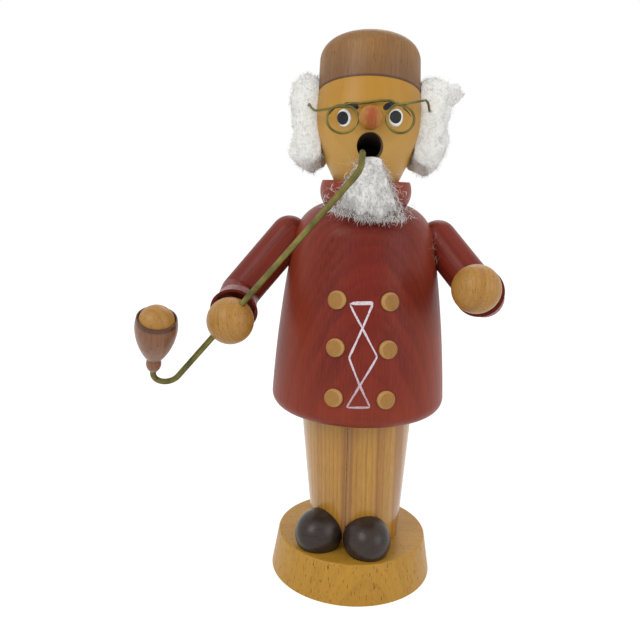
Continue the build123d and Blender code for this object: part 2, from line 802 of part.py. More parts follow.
# Spectacles
lens_top = lens_height + lens_ring_radius
corner_angle = 360 / lens_corners
corner_radius = lens_ring_radius / cos(radians(corner_angle / 2))
wire_right = []
for corner in range(lens_corners):
    angle = radians(90 - corner_angle * (corner + 0.5))
    pass_share = 0.5 - corner / (lens_corners - 1)
    wire_right.append(
        (
            lens_spacing / 2 + corner_radius * cos(angle),
            -lens_reach + lens_crossing_gap * pass_share,
            lens_height + corner_radius * sin(angle),
        )
    )
wire_right += [(side, -front, height) for side, front, height in temple_places]
wire_left = [(-side, depth, height) for side, depth, height in reversed(wire_right)]
bridge_middle = (0, -lens_reach - bridge_front, lens_top + bridge_rise)
wire_places = [head_frame.from_local_coords(p) for p in wire_left + [bridge_middle] + wire_right]
temple_bends = [temple_bend_radius] * (len(temple_places) - 1)
lens_bends = [lens_bend_radius] * lens_corners
with BuildPart() as spectacles:
    with BuildLine():
        FilletPolyline(
            *wire_places,
            radius=[*temple_bends, *lens_bends, bridge_bend_radius, *lens_bends, *temple_bends],
        )
    with BuildSketch(Plane(origin=wire_places[0], z_dir=wire_places[1] - wire_places[0])):
        Circle(wire_radius)
    sweep()
save(spectacles.part, "spectacles")

# Hair: a band of wool round the back of the head, from side to side
with BuildPart() as hair:
    hair_start = -head_frame.y_dir.rotate(Axis((0, 0, 0), head_frame.z_dir), hair_front_azimuth)
    hair_plane = Plane(
        origin=head_frame.origin, x_dir=hair_start, z_dir=hair_start.cross(head_frame.z_dir)
    )
    with BuildSketch(hair_plane):
        with BuildLine():
            Spline(*hair_outline)
            Polyline(
                hair_outline[-1],
                (hat_radius, hair_top),
                (hair_inner_radius, hair_top),
                (hair_inner_radius, hair_outline[0][1]),
                hair_outline[0],
            )
        make_face()
    revolve(axis=head_axis, revolution_arc=360 - 2 * hair_front_azimuth)
    add(head.part, mode=Mode.SUBTRACT)
    add(hat.part, mode=Mode.SUBTRACT)
    add(spectacles.part, mode=Mode.SUBTRACT)
    add(collar.part, mode=Mode.SUBTRACT)
save(hair.part, "hair")

# Beard: wool from under the mouth, over the collar, to the chest
with BuildPart() as beard:
    for rise, left, front, half_width, half_thickness in beard_sections:
        with BuildSketch(Plane(origin=(-left, -front, mouth_centre.Z + rise))):
            Ellipse(half_width, half_thickness)
    loft(ruled=True)
    add(coat_block.part, mode=Mode.SUBTRACT)
    add(collar.part, mode=Mode.SUBTRACT)
    add(head.part, mode=Mode.SUBTRACT)
save(beard.part, "beard")
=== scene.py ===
import logging
from dataclasses import dataclass
from enum import Enum
from itertools import product
from typing import ClassVar, Union

import bpy
import numpy as np
from mathutils import Matrix, Vector


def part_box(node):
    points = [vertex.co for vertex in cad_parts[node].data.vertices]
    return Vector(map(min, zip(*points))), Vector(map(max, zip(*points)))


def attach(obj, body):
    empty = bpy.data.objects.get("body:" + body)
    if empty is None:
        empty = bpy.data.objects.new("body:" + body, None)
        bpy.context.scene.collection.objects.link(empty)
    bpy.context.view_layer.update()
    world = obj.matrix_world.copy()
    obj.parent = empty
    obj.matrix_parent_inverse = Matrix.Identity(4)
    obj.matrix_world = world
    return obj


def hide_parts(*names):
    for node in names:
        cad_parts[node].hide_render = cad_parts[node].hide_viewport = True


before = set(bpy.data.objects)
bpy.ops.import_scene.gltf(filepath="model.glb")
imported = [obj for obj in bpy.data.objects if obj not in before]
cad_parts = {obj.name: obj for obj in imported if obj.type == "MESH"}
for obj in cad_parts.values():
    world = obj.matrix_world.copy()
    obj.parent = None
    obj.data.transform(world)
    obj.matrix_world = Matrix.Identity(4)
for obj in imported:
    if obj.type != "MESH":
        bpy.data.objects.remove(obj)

log = logging.getLogger("incense_smoker")

MM = 0.001
Pair = tuple[float, float]
Triple = tuple[float, float, float]
Colour = tuple[float, float, float, float]
Skin = tuple[np.ndarray, np.ndarray]
Term = Union["Value", float, tuple]


class Side(Enum):
    """The two sides of the figure, as a viewer in front sees them."""

    LEFT = -1
    RIGHT = 1

    @property
    def word(self) -> str:
        """The side's name, as the nodes carry it."""
        return self.name.lower()


class Body(Enum):
    """The two bodies of the frame."""

    STAND = "stand"
    FIGURE = "figure"


# Shader expressions


class Value:
    """One output of a node; Python's operators on it add Math nodes."""

    def __init__(self, shade: "Shade", socket: bpy.types.NodeSocket) -> None:
        """Keeps the node tree and the output's socket."""
        self.shade = shade
        self.socket = socket

    def _with(self, operation: str, *terms: Term) -> "Value":
        """The result of a new Math node with this operation and these inputs."""
        inputs = dict(enumerate(terms))
        return self.shade.node("ShaderNodeMath", {"operation": operation}, inputs)

    def __add__(self, other: Term) -> "Value":
        """Sum."""
        return self._with("ADD", self, other)

    def __radd__(self, other: Term) -> "Value":
        """Sum, with the number first."""
        return self._with("ADD", other, self)

    def __sub__(self, other: Term) -> "Value":
        """Difference."""
        return self._with("SUBTRACT", self, other)

    def __rsub__(self, other: Term) -> "Value":
        """Difference, with the number first."""
        return self._with("SUBTRACT", other, self)

    def __mul__(self, other: Term) -> "Value":
        """Product."""
        return self._with("MULTIPLY", self, other)

    def __rmul__(self, other: Term) -> "Value":
        """Product, with the number first."""
        return self._with("MULTIPLY", other, self)

    def __truediv__(self, other: Term) -> "Value":
        """Quotient."""
        return self._with("DIVIDE", self, other)

    def __pow__(self, other: Term) -> "Value":
        """Power."""
        return self._with("POWER", self, other)

    def __abs__(self) -> "Value":
        """Size without sign."""
        return self._with("ABSOLUTE", self)

    def root(self) -> "Value":
        """Square root."""
        return self._with("SQRT", self)

    def fraction(self) -> "Value":
        """What is left after the whole number."""
        return self._with("FRACT", self)

    def largest(self, other: Term) -> "Value":
        """The larger of the two."""
        return self._with("MAXIMUM", self, other)

    def rising(self, start: float, end: float) -> "Value":
        """A smooth step.

        Args:
            start: where the step is 0.
            end: where it is 1; below start for a falling step.

        Returns:
            The step, from 0 to 1.
        """
        return self.shade.node(
            "ShaderNodeMapRange",
            {"interpolation_type": "SMOOTHSTEP"},
            {"Value": self, "From Min": start, "From Max": end},
        )


@dataclass(frozen=True)
class Place:
    """A frame inside the object: an origin in millimetres and three unit axes."""

    origin: Triple = (0, 0, 0)
    across: Triple = (1, 0, 0)
    depth: Triple = (0, 1, 0)
    along: Triple = (0, 0, 1)

    @classmethod
    def on_axis(cls, origin: Triple, along: Triple, front: Triple = (0, -1, 0)) -> "Place":
        """A frame whose third axis is given.

        Args:
            origin: the frame's origin, in millimetres.
            along: the third axis, of any length.
            front: a direction that the second axis turns away from.

        Returns:
            The frame.
        """
        third = np.array(along, float) / np.linalg.norm(along)
        first = np.cross(third, front)
        first /= -np.linalg.norm(first)
        second = np.cross(third, first)
        return cls(origin, tuple(first), tuple(second), tuple(third))

    @property
    def axes(self) -> np.ndarray:
        """The three axes, one in each row."""
        return np.array([self.across, self.depth, self.along], float)

    def points(self, local: np.ndarray) -> np.ndarray:
        """Places in metres of points given in this frame in millimetres."""
        return (np.asarray(local, float) @ self.axes + np.array(self.origin)) * MM


class Shade:
    """The node tree of a material or of the world, written as expressions."""

    def __init__(self, owner: bpy.types.Material | bpy.types.World) -> None:
        """Empties the owner's node tree.

        Args:
            owner: the material or the world.
        """
        self.owner = owner
        owner.use_nodes = True
        self.tree = owner.node_tree
        self.tree.nodes.clear()

    @classmethod
    def named(cls, name: str) -> "Shade":
        """The tree of a new material."""
        return cls(bpy.data.materials.new(name))

    def node(self, kind: str, settings: dict, inputs: dict, output: int | str = 0) -> Value:
        """Adds one node.

        Args:
            kind: the node's type.
            settings: its own settings, set before its sockets are filled.
            inputs: what goes into its sockets, by name or number: a number, a tuple or
                another value.
            output: the name or number of the socket that is handed back.

        Returns:
            That output.
        """
        made = self.tree.nodes.new(kind)
        for setting, content in settings.items():
            setattr(made, setting, content)
        for socket, content in inputs.items():
            if isinstance(content, Value):
                self.tree.links.new(content.socket, made.inputs[socket])
            else:
                made.inputs[socket].default_value = content
        return Value(self, made.outputs[output])

    def vector(
        self, operation: str, *terms: Term, output: int | str = 0, **named: Term
    ) -> Value:
        """Adds a Vector Math node.

        Args:
            operation: its operation.
            terms: its vectors, in order.
            output: which of its outputs is handed back.
            named: sockets filled by name.

        Returns:
            The result.
        """
        inputs = dict(enumerate(terms)) | named
        return self.node("ShaderNodeVectorMath", {"operation": operation}, inputs, output)

    def local(self, place: Place = Place()) -> tuple[Value, Value, Value]:
        """The shaded point in one of the object's own frames.

        Args:
            place: the frame.

        Returns:
            Its three coordinates there, in millimetres.
        """
        origin = tuple(c * MM for c in place.origin)
        point = self.node("ShaderNodeTexCoord", {}, {}, "Object")
        offset = self.vector("SUBTRACT", point, origin)
        millimetres = self.vector("SCALE", offset, Scale=1 / MM)
        return tuple(
            self.vector("DOT_PRODUCT", millimetres, tuple(axis), output="Value")
            for axis in place.axes
        )

    def joined(self, x: Term, y: Term, z: Term) -> Value:
        """A vector of three numbers."""
        return self.node("ShaderNodeCombineXYZ", {}, {0: x, 1: y, 2: z})

    def noise(self, vector: Value, scale: float, detail: float = 2, rough: float = 0.5) -> Value:
        """Soft random values from 0 to 1.

        Args:
            vector: where they are read.
            scale: how many bumps there are to a unit of the vector.
            detail: how many finer layers are added.
            rough: how strong the finer layers are.

        Returns:
            The value.
        """
        inputs = {"Vector": vector, "Scale": scale, "Detail": detail, "Roughness": rough}
        return self.node("ShaderNodeTexNoise", {}, inputs)

    def mix(self, share: Term, first: Term, second: Term) -> Value:
        """A mixed colour: a share of 0 gives the first one, of 1 the second."""
        settings = {"data_type": "RGBA", "clamp_factor": True}
        return self.node("ShaderNodeMix", settings, {0: share, 6: first, 7: second}, 2)

    def bump(self, height: Value, depth: float) -> Value:
        """A normal from a height of 0 to 1; depth is what 1 stands for, in millimetres."""
        return self.node("ShaderNodeBump", {}, {"Height": height, "Distance": depth * MM})

    def surface(self, **sockets: Term) -> bpy.types.Material:
        """Ends the tree with one Principled shader.

        Args:
            sockets: its sockets, with low lines for spaces.

        Returns:
            The finished material.
        """
        inputs = {name.replace("_", " "): content for name, content in sockets.items()}
        self.end_with(self.node("ShaderNodeBsdfPrincipled", {}, inputs))
        return self.owner

    def end_with(self, shader: Value) -> None:
        """Joins a shader to the tree's output.

        Args:
            shader: the shader.
        """
        kind = "World" if isinstance(self.owner, bpy.types.World) else "Material"
        output = self.tree.nodes.new(f"ShaderNodeOutput{kind}")
        self.tree.links.new(shader.socket, output.inputs["Surface"])

    def seen(self) -> Value:
        """Tells what is looked at from what only lights the object.

        Returns:
            1 for the camera's rays and those off a mirror or through glass, 0 for others.
        """
        names = ("Is Camera Ray", "Is Glossy Ray", "Is Transmission Ray")
        camera, glossy, through = (
            self.node("ShaderNodeLightPath", {}, {}, name) for name in names
        )
        return camera.largest(glossy).largest(through)


def colour(red: float, green: float, blue: float) -> Colour:
    """A colour as the eye reads it, for a node.

    Args:
        red: red, from 0 to 255.
        green: green, from 0 to 255.
        blue: blue, from 0 to 255.

    Returns:
        The same colour in linear light, by the sRGB formula, with full alpha.
    """
    shares = np.array([red, green, blue]) / 255
    low = shares / 12.92
    high = ((shares + 0.055) / 1.055) ** 2.4
    return (*np.where(shares <= 0.04045, low, high).tolist(), 1.0)


# Finishes


@dataclass
class Grown:
    """What wood grain gives to a shader: a colour, a roughness and a height."""

    tint: Value
    roughness: Value
    height: Value

    def lay(self, share: Term, layer: Colour) -> None:
        """Lays a stain over the grain, as thickly as the share says."""
        self.tint = self.tint.shade.mix(share, self.tint, layer)


@dataclass(frozen=True)
class Wood:
    """A turned and lacquered wood, by its rings, fibres, pores and clouds. Lengths in mm.
    The capitals are what all woods share: SCALES are bumps to a unit, STEPS where a noise
    starts to show and shows fully, and ALONG how much slower a pattern runs with the grain."""

    early: Colour
    late: Colour
    pore: Colour
    ring_spacing: float = 1.6
    ring_strength: float = 0.5
    ring_waver: float = 1.2
    fibre_strength: float = 0.35
    fibre_width: float = 0.45
    pore_width: float = 0.35
    pore_length: float = 3.0
    pore_strength: float = 0.5
    pore_share: float = 0.35
    cloud_strength: float = 0.25
    roughness: float = 0.42
    lacquer: float = 0.15
    lacquer_roughness: float = 0.25
    shine: float = 0.35
    relief: float = 0.03

    WAVER_SCALE: ClassVar[float] = 0.06
    WAVER_ALONG: ClassVar[float] = 0.25
    LATE_POWER: ClassVar[float] = 2.5
    LATE_END: ClassVar[float] = 0.86
    LATE_WEIGHT: ClassVar[float] = 0.6
    BAND_SCALE: ClassVar[float] = 0.55
    BAND_STEP: ClassVar[Pair] = (0.4, 0.7)
    BAND_WEIGHT: ClassVar[float] = 0.7
    FIBRE_SCALE: ClassVar[float] = 0.8
    FIBRE_ALONG: ClassVar[float] = 40.0
    PORE_SCALE: ClassVar[float] = 0.55
    PORE_STEP: ClassVar[float] = 0.07
    CLOUD_SCALE: ClassVar[float] = 0.05
    CLOUD_ALONG: ClassVar[float] = 0.5
    CLOUD_GAIN: ClassVar[float] = 3.0
    STREAK_GAIN: ClassVar[float] = 2.4
    PALE_POWER: ClassVar[float] = 0.82

    def grow(self, shade: Shade, place: Place, pith: Pair, seed: float = 0) -> Grown:
        """Grows the grain: rings are cylinders round the pith, fibres and pores run along
        the frame's third axis, and slow clouds darken the whole.

        Args:
            shade: the material.
            place: the frame whose third axis is the grain's direction.
            pith: the middle of the tree, across the grain, in millimetres.
            seed: moves the random parts, so that no two pieces match.

        Returns:
            The wood's colour, roughness and height.
        """
        across, depth, along = shade.local(place)
        slow = shade.joined(across + seed, depth + seed, along * self.WAVER_ALONG)
        waver = (shade.noise(slow, self.WAVER_SCALE, 1) - 0.5) * (2 * self.ring_waver)
        from_pith = ((across - pith[0]) ** 2 + (depth - pith[1]) ** 2).root() + waver
        year = from_pith / self.ring_spacing
        phase = year.fraction()
        late = phase ** self.LATE_POWER * phase.rising(1, self.LATE_END)
        band = shade.noise(shade.joined(year, seed, 0), self.BAND_SCALE, 3)
        shown = band.rising(*self.BAND_STEP) * self.BAND_WEIGHT
        rings = (late * self.LATE_WEIGHT + shown) * self.ring_strength

        thin = 1 / self.fibre_width
        with_grain = along * (thin / self.FIBRE_ALONG)
        threads = shade.joined((across + seed) * thin, depth * thin, with_grain)
        fibres = shade.noise(threads, self.FIBRE_SCALE, 3, 0.6)
        narrow = 1 / self.pore_width
        stretched = shade.joined(
            (across - seed) * narrow, (depth + seed) * narrow, along / self.pore_length
        )
        threshold = 0.74 - 0.25 * self.pore_share
        speck = shade.noise(stretched, self.PORE_SCALE, 1)
        pores = speck.rising(threshold, threshold + self.PORE_STEP) * self.pore_strength
        drifting = shade.joined(across, depth + seed, along * self.CLOUD_ALONG)
        cloud = (shade.noise(drifting, self.CLOUD_SCALE) - 0.5).largest(0)

        rough = fibres * 0.16 + pores * 0.2 + (self.roughness - 0.08)
        height = fibres * 0.5 - pores * 0.9 - late * 0.2 + 0.5
        grown = Grown(shade.mix(rings, self.early, self.late), rough, height)
        streak = (fibres - 0.5) * (self.STREAK_GAIN * self.fibre_strength)
        grown.lay(streak.largest(0), self.late)
        pale = tuple(c ** self.PALE_POWER for c in self.early[:3]) + (1.0,)
        grown.lay((0 - streak).largest(0), pale)
        grown.lay(cloud * (self.CLOUD_GAIN * self.cloud_strength), self.late)
        grown.lay(pores, self.pore)
        return grown

    def finish(self, shade: Shade, grown: Grown) -> bpy.types.Material:
        """Lacquers the grain.

        Args:
            shade: the material.
            grown: its grain, stained over or not.

        Returns:
            The finished material.
        """
        return shade.surface(
            Base_Color=grown.tint,
            Roughness=grown.roughness,
            Normal=shade.bump(grown.height, self.relief),
            Specular_IOR_Level=self.shine,
            Coat_Weight=self.lacquer,
            Coat_Roughness=self.lacquer_roughness,
        )

    def plain(self, name: str, place: Place, pith: Pair, seed: float) -> bpy.types.Material:
        """The wood's material with nothing laid over its grain.

        Args:
            name: the material's name.
            place: the frame whose third axis is the grain's direction.
            pith: the middle of the tree, across the grain, in millimetres.
            seed: moves the random parts.

        Returns:
            The material.
        """
        shade = Shade.named(name)
        return self.finish(shade, self.grow(shade, place, pith, seed))


@dataclass(frozen=True)
class Metal:
    """A drawn or pressed metal with a tarnish in patches. Lengths in mm."""

    bright: Colour
    tarnish: Colour
    roughness: float = 0.3
    tarnish_share: float = 0.5
    patch: float = 3.0

    PATCH_STEP: ClassVar[float] = 0.3
    FINE_SCALE: ClassVar[float] = 6.0
    RELIEF: ClassVar[float] = 0.01

    def dress(self, name: str) -> bpy.types.Material:
        """The metal's material.

        Args:
            name: the material's name.

        Returns:
            The material.
        """
        shade = Shade.named(name)
        spot = shade.joined(*shade.local())
        patches = shade.noise(spot, 1 / self.patch, 3, 0.6)
        edge = 0.75 - 0.5 * self.tarnish_share
        stain = patches.rising(edge - self.PATCH_STEP, edge + self.PATCH_STEP)
        fine = shade.noise(spot, self.FINE_SCALE)
        return shade.surface(
            Base_Color=shade.mix(stain, self.bright, self.tarnish),
            Metallic=1.0 - stain * 0.25,
            Roughness=self.roughness + stain * 0.18 + fine * 0.1,
            Normal=shade.bump(fine + patches, self.RELIEF),
        )


@dataclass(frozen=True)
class Paint:
    """Brushed enamel, thin enough that its strokes show, and darker and pinker towards the
    bottom, below a height. Lengths in mm."""

    body: Colour
    thin: Colour
    roughness: float = 0.3
    stroke: float = 0.5
    shine: float = 0.5
    dim_below: float = 0.0

    STROKE_STEP: ClassVar[Pair] = (0.45, 0.75)
    DIM_RUN: ClassVar[float] = 14.0
    DIMMED: ClassVar[float] = 0.6
    RELIEF: ClassVar[float] = 0.02

    def dress(self, name: str) -> bpy.types.Material:
        """The paint's material.

        Args:
            name: the material's name.

        Returns:
            The material.
        """
        shade = Shade.named(name)
        x, y, z = shade.local()
        strokes = shade.noise(shade.joined(x, y, z), 1 / self.stroke, 3, 0.6)
        # darker and pinker towards the bottom, below a height
        low = z.rising(self.dim_below, self.dim_below - self.DIM_RUN) * self.DIMMED
        share = strokes.rising(*self.STROKE_STEP) + low
        return shade.surface(
            Base_Color=shade.mix(share, self.body, self.thin),
            Roughness=self.roughness + strokes * 0.15,
            Normal=shade.bump(strokes, self.RELIEF),
            Specular_IOR_Level=self.shine,
        )


@dataclass(frozen=True)
class Wool:
    """White wool: yellower between its tufts and curls, with dark flecks, drawn out upright,
    that are painted shade where one looks in between the fibres. Lengths in mm."""

    tip: Colour
    depth: Colour
    patch: float = 4.0
    gap_shade: float = 0.22
    fleck_length: float = 0.7

    CURL_SCALE: ClassVar[float] = 2.2
    FLECK_ACROSS: ClassVar[float] = 1.9
    FLECK_SCALE: ClassVar[float] = 0.9
    RELIEF: ClassVar[float] = 0.4

    def dress(self, name: str) -> bpy.types.Material:
        """The wool's material.

        Args:
            name: the material's name.

        Returns:
            The material.
        """
        shade = Shade.named(name)
        x, y, z = shade.local()
        spot = shade.joined(x, y, z)
        tufts = shade.noise(spot, 1 / self.patch, 3, 0.6)
        curls = shade.noise(spot, self.CURL_SCALE, 3, 0.65)
        share = tufts.rising(0.4, 0.75) * 0.6 + curls.rising(0.5, 0.8) * 0.35
        tint = shade.mix(share, self.tip, self.depth)
        # painted shade: dark flecks where one looks in between the fibres
        across = self.FLECK_ACROSS
        combed = shade.joined(x * across, y * across, z / self.fleck_length)
        flecks = shade.noise(combed, self.FLECK_SCALE, 2, 0.7).rising(0.5, 0.66)
        return shade.surface(
            Base_Color=shade.mix(flecks * self.gap_shade, tint, WOOL_GAP_SHADE),
            Roughness=0.9,
            Normal=shade.bump(curls, self.RELIEF),
            Sheen_Weight=0.8,
            Specular_IOR_Level=0.15,
        )


BEECH = Wood(
    colour(182, 136, 46), colour(156, 108, 36), colour(96, 62, 26),
    ring_spacing=1.1, pore_width=0.22, pore_strength=0.85, pore_share=0.4,
    lacquer=0.1, shine=0.25,
)
OILED_BEECH = Wood(
    colour(180, 133, 50), colour(142, 84, 28), colour(120, 72, 26),
    ring_spacing=1.7, ring_strength=0.95, ring_waver=0.6,
    fibre_strength=0.6, pore_strength=0.25, cloud_strength=0.1,
    roughness=0.28, lacquer=0.35, lacquer_roughness=0.12,
)
HONEY = Wood(
    colour(184, 136, 48), colour(160, 104, 34), colour(136, 88, 34),
    ring_spacing=2.6, ring_strength=0.3,
    fibre_strength=0.25, pore_length=1.6, pore_strength=0.2,
    roughness=0.4, lacquer=0.08, shine=0.25,
)
PALE = Wood(
    colour(174, 128, 60), colour(140, 92, 40), colour(112, 72, 32),
    ring_spacing=1.5, ring_strength=0.6, fibre_strength=0.5, fibre_width=0.35,
    pore_width=0.2, pore_length=1.4, pore_share=0.5,
    lacquer=0.1, shine=0.28,
)
MAHOGANY = Wood(
    colour(122, 42, 28), colour(76, 22, 18), colour(56, 16, 14),
    ring_spacing=0.95, ring_strength=0.6, ring_waver=0.7,
    fibre_strength=0.65, fibre_width=0.4, pore_width=0.2, pore_strength=0.35,
    cloud_strength=0.45, roughness=0.4, lacquer=0.03, shine=0.16,
)
WALNUT = Wood(
    colour(142, 100, 50), colour(100, 66, 34), colour(70, 46, 28),
    ring_spacing=0.9, ring_strength=0.4, ring_waver=0.5,
    fibre_strength=0.8, fibre_width=0.26,
    pore_width=0.2, pore_length=2.0, pore_strength=0.6,
    cloud_strength=0.15, roughness=0.5, lacquer=0.05,
)
REDDISH = Wood(
    colour(132, 86, 54), colour(86, 48, 32), colour(58, 32, 22),
    ring_spacing=1.2, fibre_strength=0.5, pore_strength=0.4, roughness=0.36,
)
STAINED = Wood(
    colour(56, 43, 36), colour(28, 22, 20), colour(20, 16, 15),
    ring_spacing=2.2, ring_strength=0.6, fibre_strength=0.6, pore_strength=0.3,
    roughness=0.34, shine=0.24,
)
BRASS = Metal(colour(142, 132, 72), colour(84, 82, 44), 0.34, 0.6, 7.0)
TIN = Metal(colour(190, 188, 182), colour(120, 112, 100), 0.38, 0.5, 5.0)
STEEL = Metal(colour(170, 170, 172), colour(92, 88, 86), 0.34, 0.4, 2.0)
WHITE_PAINT = Paint(colour(216, 208, 216), colour(170, 132, 142), dim_below=92.0)
EYE_WHITE = Paint(colour(240, 240, 238), colour(226, 224, 220), 0.22, 1.5)
BLACK_PAINT = Paint(colour(20, 21, 26), colour(46, 46, 52), 0.38, 0.6, 0.3)
HAIR_WOOL = Wool(colour(248, 248, 243), colour(234, 231, 222), gap_shade=0.12)
COMBED_WOOL = Wool(colour(247, 246, 243), colour(228, 224, 218), 4.0, 0.5, 2.2)
# painted shade: the wool darker and browner where it lies between the coat and the arm
CREVICE_SHADED_WOOL = Wool(colour(196, 170, 128), colour(146, 118, 84))

# Colours that are laid over the grain in places: stains and paint, and painted light and shade

# painted shade along the legs' grooves, and painted light at their bottom
GROOVE_PAINTED_SHADE = colour(134, 86, 38)
GROOVE_PAINTED_LIGHT = colour(214, 168, 98)
# painted reflected light at the coat's sides and hem, and a paler tone on the collar
SHEEN_AND_PALE_RED = colour(150, 64, 38)
HEART_RED = colour(112, 24, 12)
BUTTON_FACE = colour(138, 96, 46)
BUTTON_RIM = colour(190, 150, 88)
CUFF_MILK = colour(214, 196, 200)
BOWL_RIM = colour(54, 30, 22)
CHIN_PALE = colour(204, 164, 96)
FOREHEAD_GOLD = colour(168, 120, 36)
# painted shade at the mouth's rim and in the hollow behind it
MOUTH_RIM_SHADE = colour(44, 30, 24)
MOUTH_HOLLOW_SHADE = colour(62, 45, 37)
NOSE_BROWN = colour(158, 98, 50)
NOSE_RED = colour(150, 54, 26)
# painted shade low on the hat, and a painted shadow at its lower edge
HAT_SHADE = colour(86, 52, 38)
HAT_EDGE_SHADOW = colour(58, 34, 24)
# painted shade where one looks in between the wool's fibres
WOOL_GAP_SHADE = colour(112, 92, 90)


# Shapes, as whole arrays


def unit(vectors: np.ndarray) -> np.ndarray:
    """The same directions with length 1."""
    return vectors / np.linalg.norm(vectors, axis=-1, keepdims=True)


def around(count: int) -> np.ndarray:
    """So many angles, evenly spaced once round, in radians."""
    return np.linspace(0, 2 * np.pi, count, endpoint=False)


def closed_mesh(name: str, skins: tuple[Skin, ...]) -> bpy.types.Mesh:
    """A mesh of triangles whose faces point outwards: where a skin's signed volume, the sum
    of its triangles' triple products, is negative, all its triangles are turned over.

    Args:
        name: the mesh's name.
        skins: closed skins, each with its corners in metres and the corners of each
            triangle.

    Returns:
        The mesh.
    """
    all_points, all_faces, start = [], [], 0
    for points, faces in skins:
        corners = points[faces]
        turned = np.cross(corners[:, 1], corners[:, 2])
        inside_out = np.einsum("ij,ij->", corners[:, 0], turned) < 0
        all_points.append(points)
        all_faces.append((faces[:, ::-1] if inside_out else faces) + start)
        start += len(points)
    points, faces = np.concatenate(all_points), np.concatenate(all_faces)
    mesh = bpy.data.meshes.new(name)
    mesh.vertices.add(len(points))
    mesh.vertices.foreach_set("co", points.astype(np.float32).ravel())
    mesh.loops.add(faces.size)
    mesh.loops.foreach_set("vertex_index", faces.astype(np.int32).ravel())
    mesh.polygons.add(len(faces))
    mesh.polygons.foreach_set("loop_start", np.arange(0, faces.size, 3, dtype=np.int32))
    mesh.polygons.foreach_set("use_smooth", np.ones(len(faces), bool))
    mesh.update(calc_edges=True)
    mesh.validate()
    return mesh


def skin(grid: np.ndarray) -> Skin:
    """Closes a grid into a skin: its columns meet round a tube, and its first and last rows
    are each one point, a pole.

    Args:
        grid: places by row and column, in metres.

    Returns:
        The corners and the triangles.
    """
    rows, columns = grid.shape[:2]
    middle = grid[1:-1].reshape(-1, 3)
    poles = np.stack([grid[0].mean(axis=0), grid[-1].mean(axis=0)])
    points = np.concatenate([middle, poles])
    index = np.arange(len(middle)).reshape(rows - 2, columns)
    beside = np.roll(index, -1, axis=1)
    first = np.stack([index[:-1], beside[:-1], beside[1:]], -1).reshape(-1, 3)
    second = np.stack([index[:-1], beside[1:], index[1:]], -1).reshape(-1, 3)
    start = np.full(columns, len(middle))
    top = np.stack([start, beside[0], index[0]], -1)
    bottom = np.stack([start + 1, index[-1], beside[-1]], -1)
    return points, np.concatenate([first, second, top, bottom])


def piece(
    name: str, finish: bpy.types.Material, *skins: Skin, body: Body = Body.FIGURE
) -> bpy.types.Object:
    """Puts closed skins into the scene as one piece of the object.

    Args:
        name: the piece's name.
        finish: its material.
        skins: its skins, in place.
        body: the body that it rides on.

    Returns:
        The piece.
    """
    mesh = closed_mesh(name, skins)
    made = bpy.data.objects.new(name, mesh)
    bpy.context.scene.collection.objects.link(made)
    made.data.materials.append(finish)
    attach(made, body.value)
    log.info("%s: %d triangles", name, len(mesh.polygons))
    return made


def dress(node: str, finish: bpy.types.Material) -> None:
    """Gives a CAD node its material.

    Args:
        node: the node.
        finish: the material.
    """
    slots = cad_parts[node].data.materials
    slots.clear()
    slots.append(finish)
    log.info("%s: %s", node, finish.name)


def middle_of(node: str) -> Triple:
    """The middle of a CAD node's box, in millimetres."""
    low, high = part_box(node)
    return tuple(c / MM for c in (low + high) / 2)


def settled(points: np.ndarray, node: str) -> np.ndarray:
    """Moves points to the nearest places on a CAD node's skin.

    Args:
        points: the points, in metres, in an array of any shape.
        node: the node.

    Returns:
        The moved points, in the same shape.
    """
    mesh = bpy.data.meshes.new("probe")
    mesh.vertices.add(points.size // 3)
    mesh.vertices.foreach_set("co", points.astype(np.float32).ravel())
    probe = bpy.data.objects.new("probe", mesh)
    bpy.context.scene.collection.objects.link(probe)
    wrap = probe.modifiers.new("wrap", "SHRINKWRAP")
    wrap.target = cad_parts[node]
    wrap.wrap_method = "NEAREST_SURFACEPOINT"
    evaluated = probe.evaluated_get(bpy.context.evaluated_depsgraph_get())
    places = np.zeros(points.size, np.float32)
    evaluated.data.vertices.foreach_get("co", places)
    bpy.data.objects.remove(probe)
    bpy.data.meshes.remove(mesh)
    return places.reshape(points.shape).astype(float)


def brush_stroke(
    line: np.ndarray, half_widths: np.ndarray, node: str, axis: Place, height: float
) -> Skin:
    """A stroke of paint: at each point of a line a lens-shaped section, whose top is a half
    ellipse proud of the node's skin and whose underside is a shallow one in it.

    Args:
        line: the middle of the stroke, in metres, near the skin.
        half_widths: half the stroke's width at each point, in metres.
        node: the CAD node that is painted.
        axis: a frame whose third axis is the node's middle line.
        height: how proud the paint stands, in millimetres.

    Returns:
        The corners and triangles.
    """
    under, corners = 0.06, 12
    on_skin = settled(line, node)
    direction = unit(np.gradient(on_skin, axis=0))
    offset = on_skin - np.array(axis.origin) * MM
    middle = np.array(axis.along, float)
    outward = unit(offset - (offset @ middle)[:, None] * middle)
    sideways = unit(np.cross(direction, outward))
    turn = around(corners)
    reach = (half_widths[:, None] * np.cos(turn))[..., None]
    flat = on_skin[:, None] + sideways[:, None] * reach
    rise = np.where(np.sin(turn) > 0, height, under) * np.sin(turn) * MM
    return skin(settled(flat, node) + outward[:, None] * rise[None, :, None])


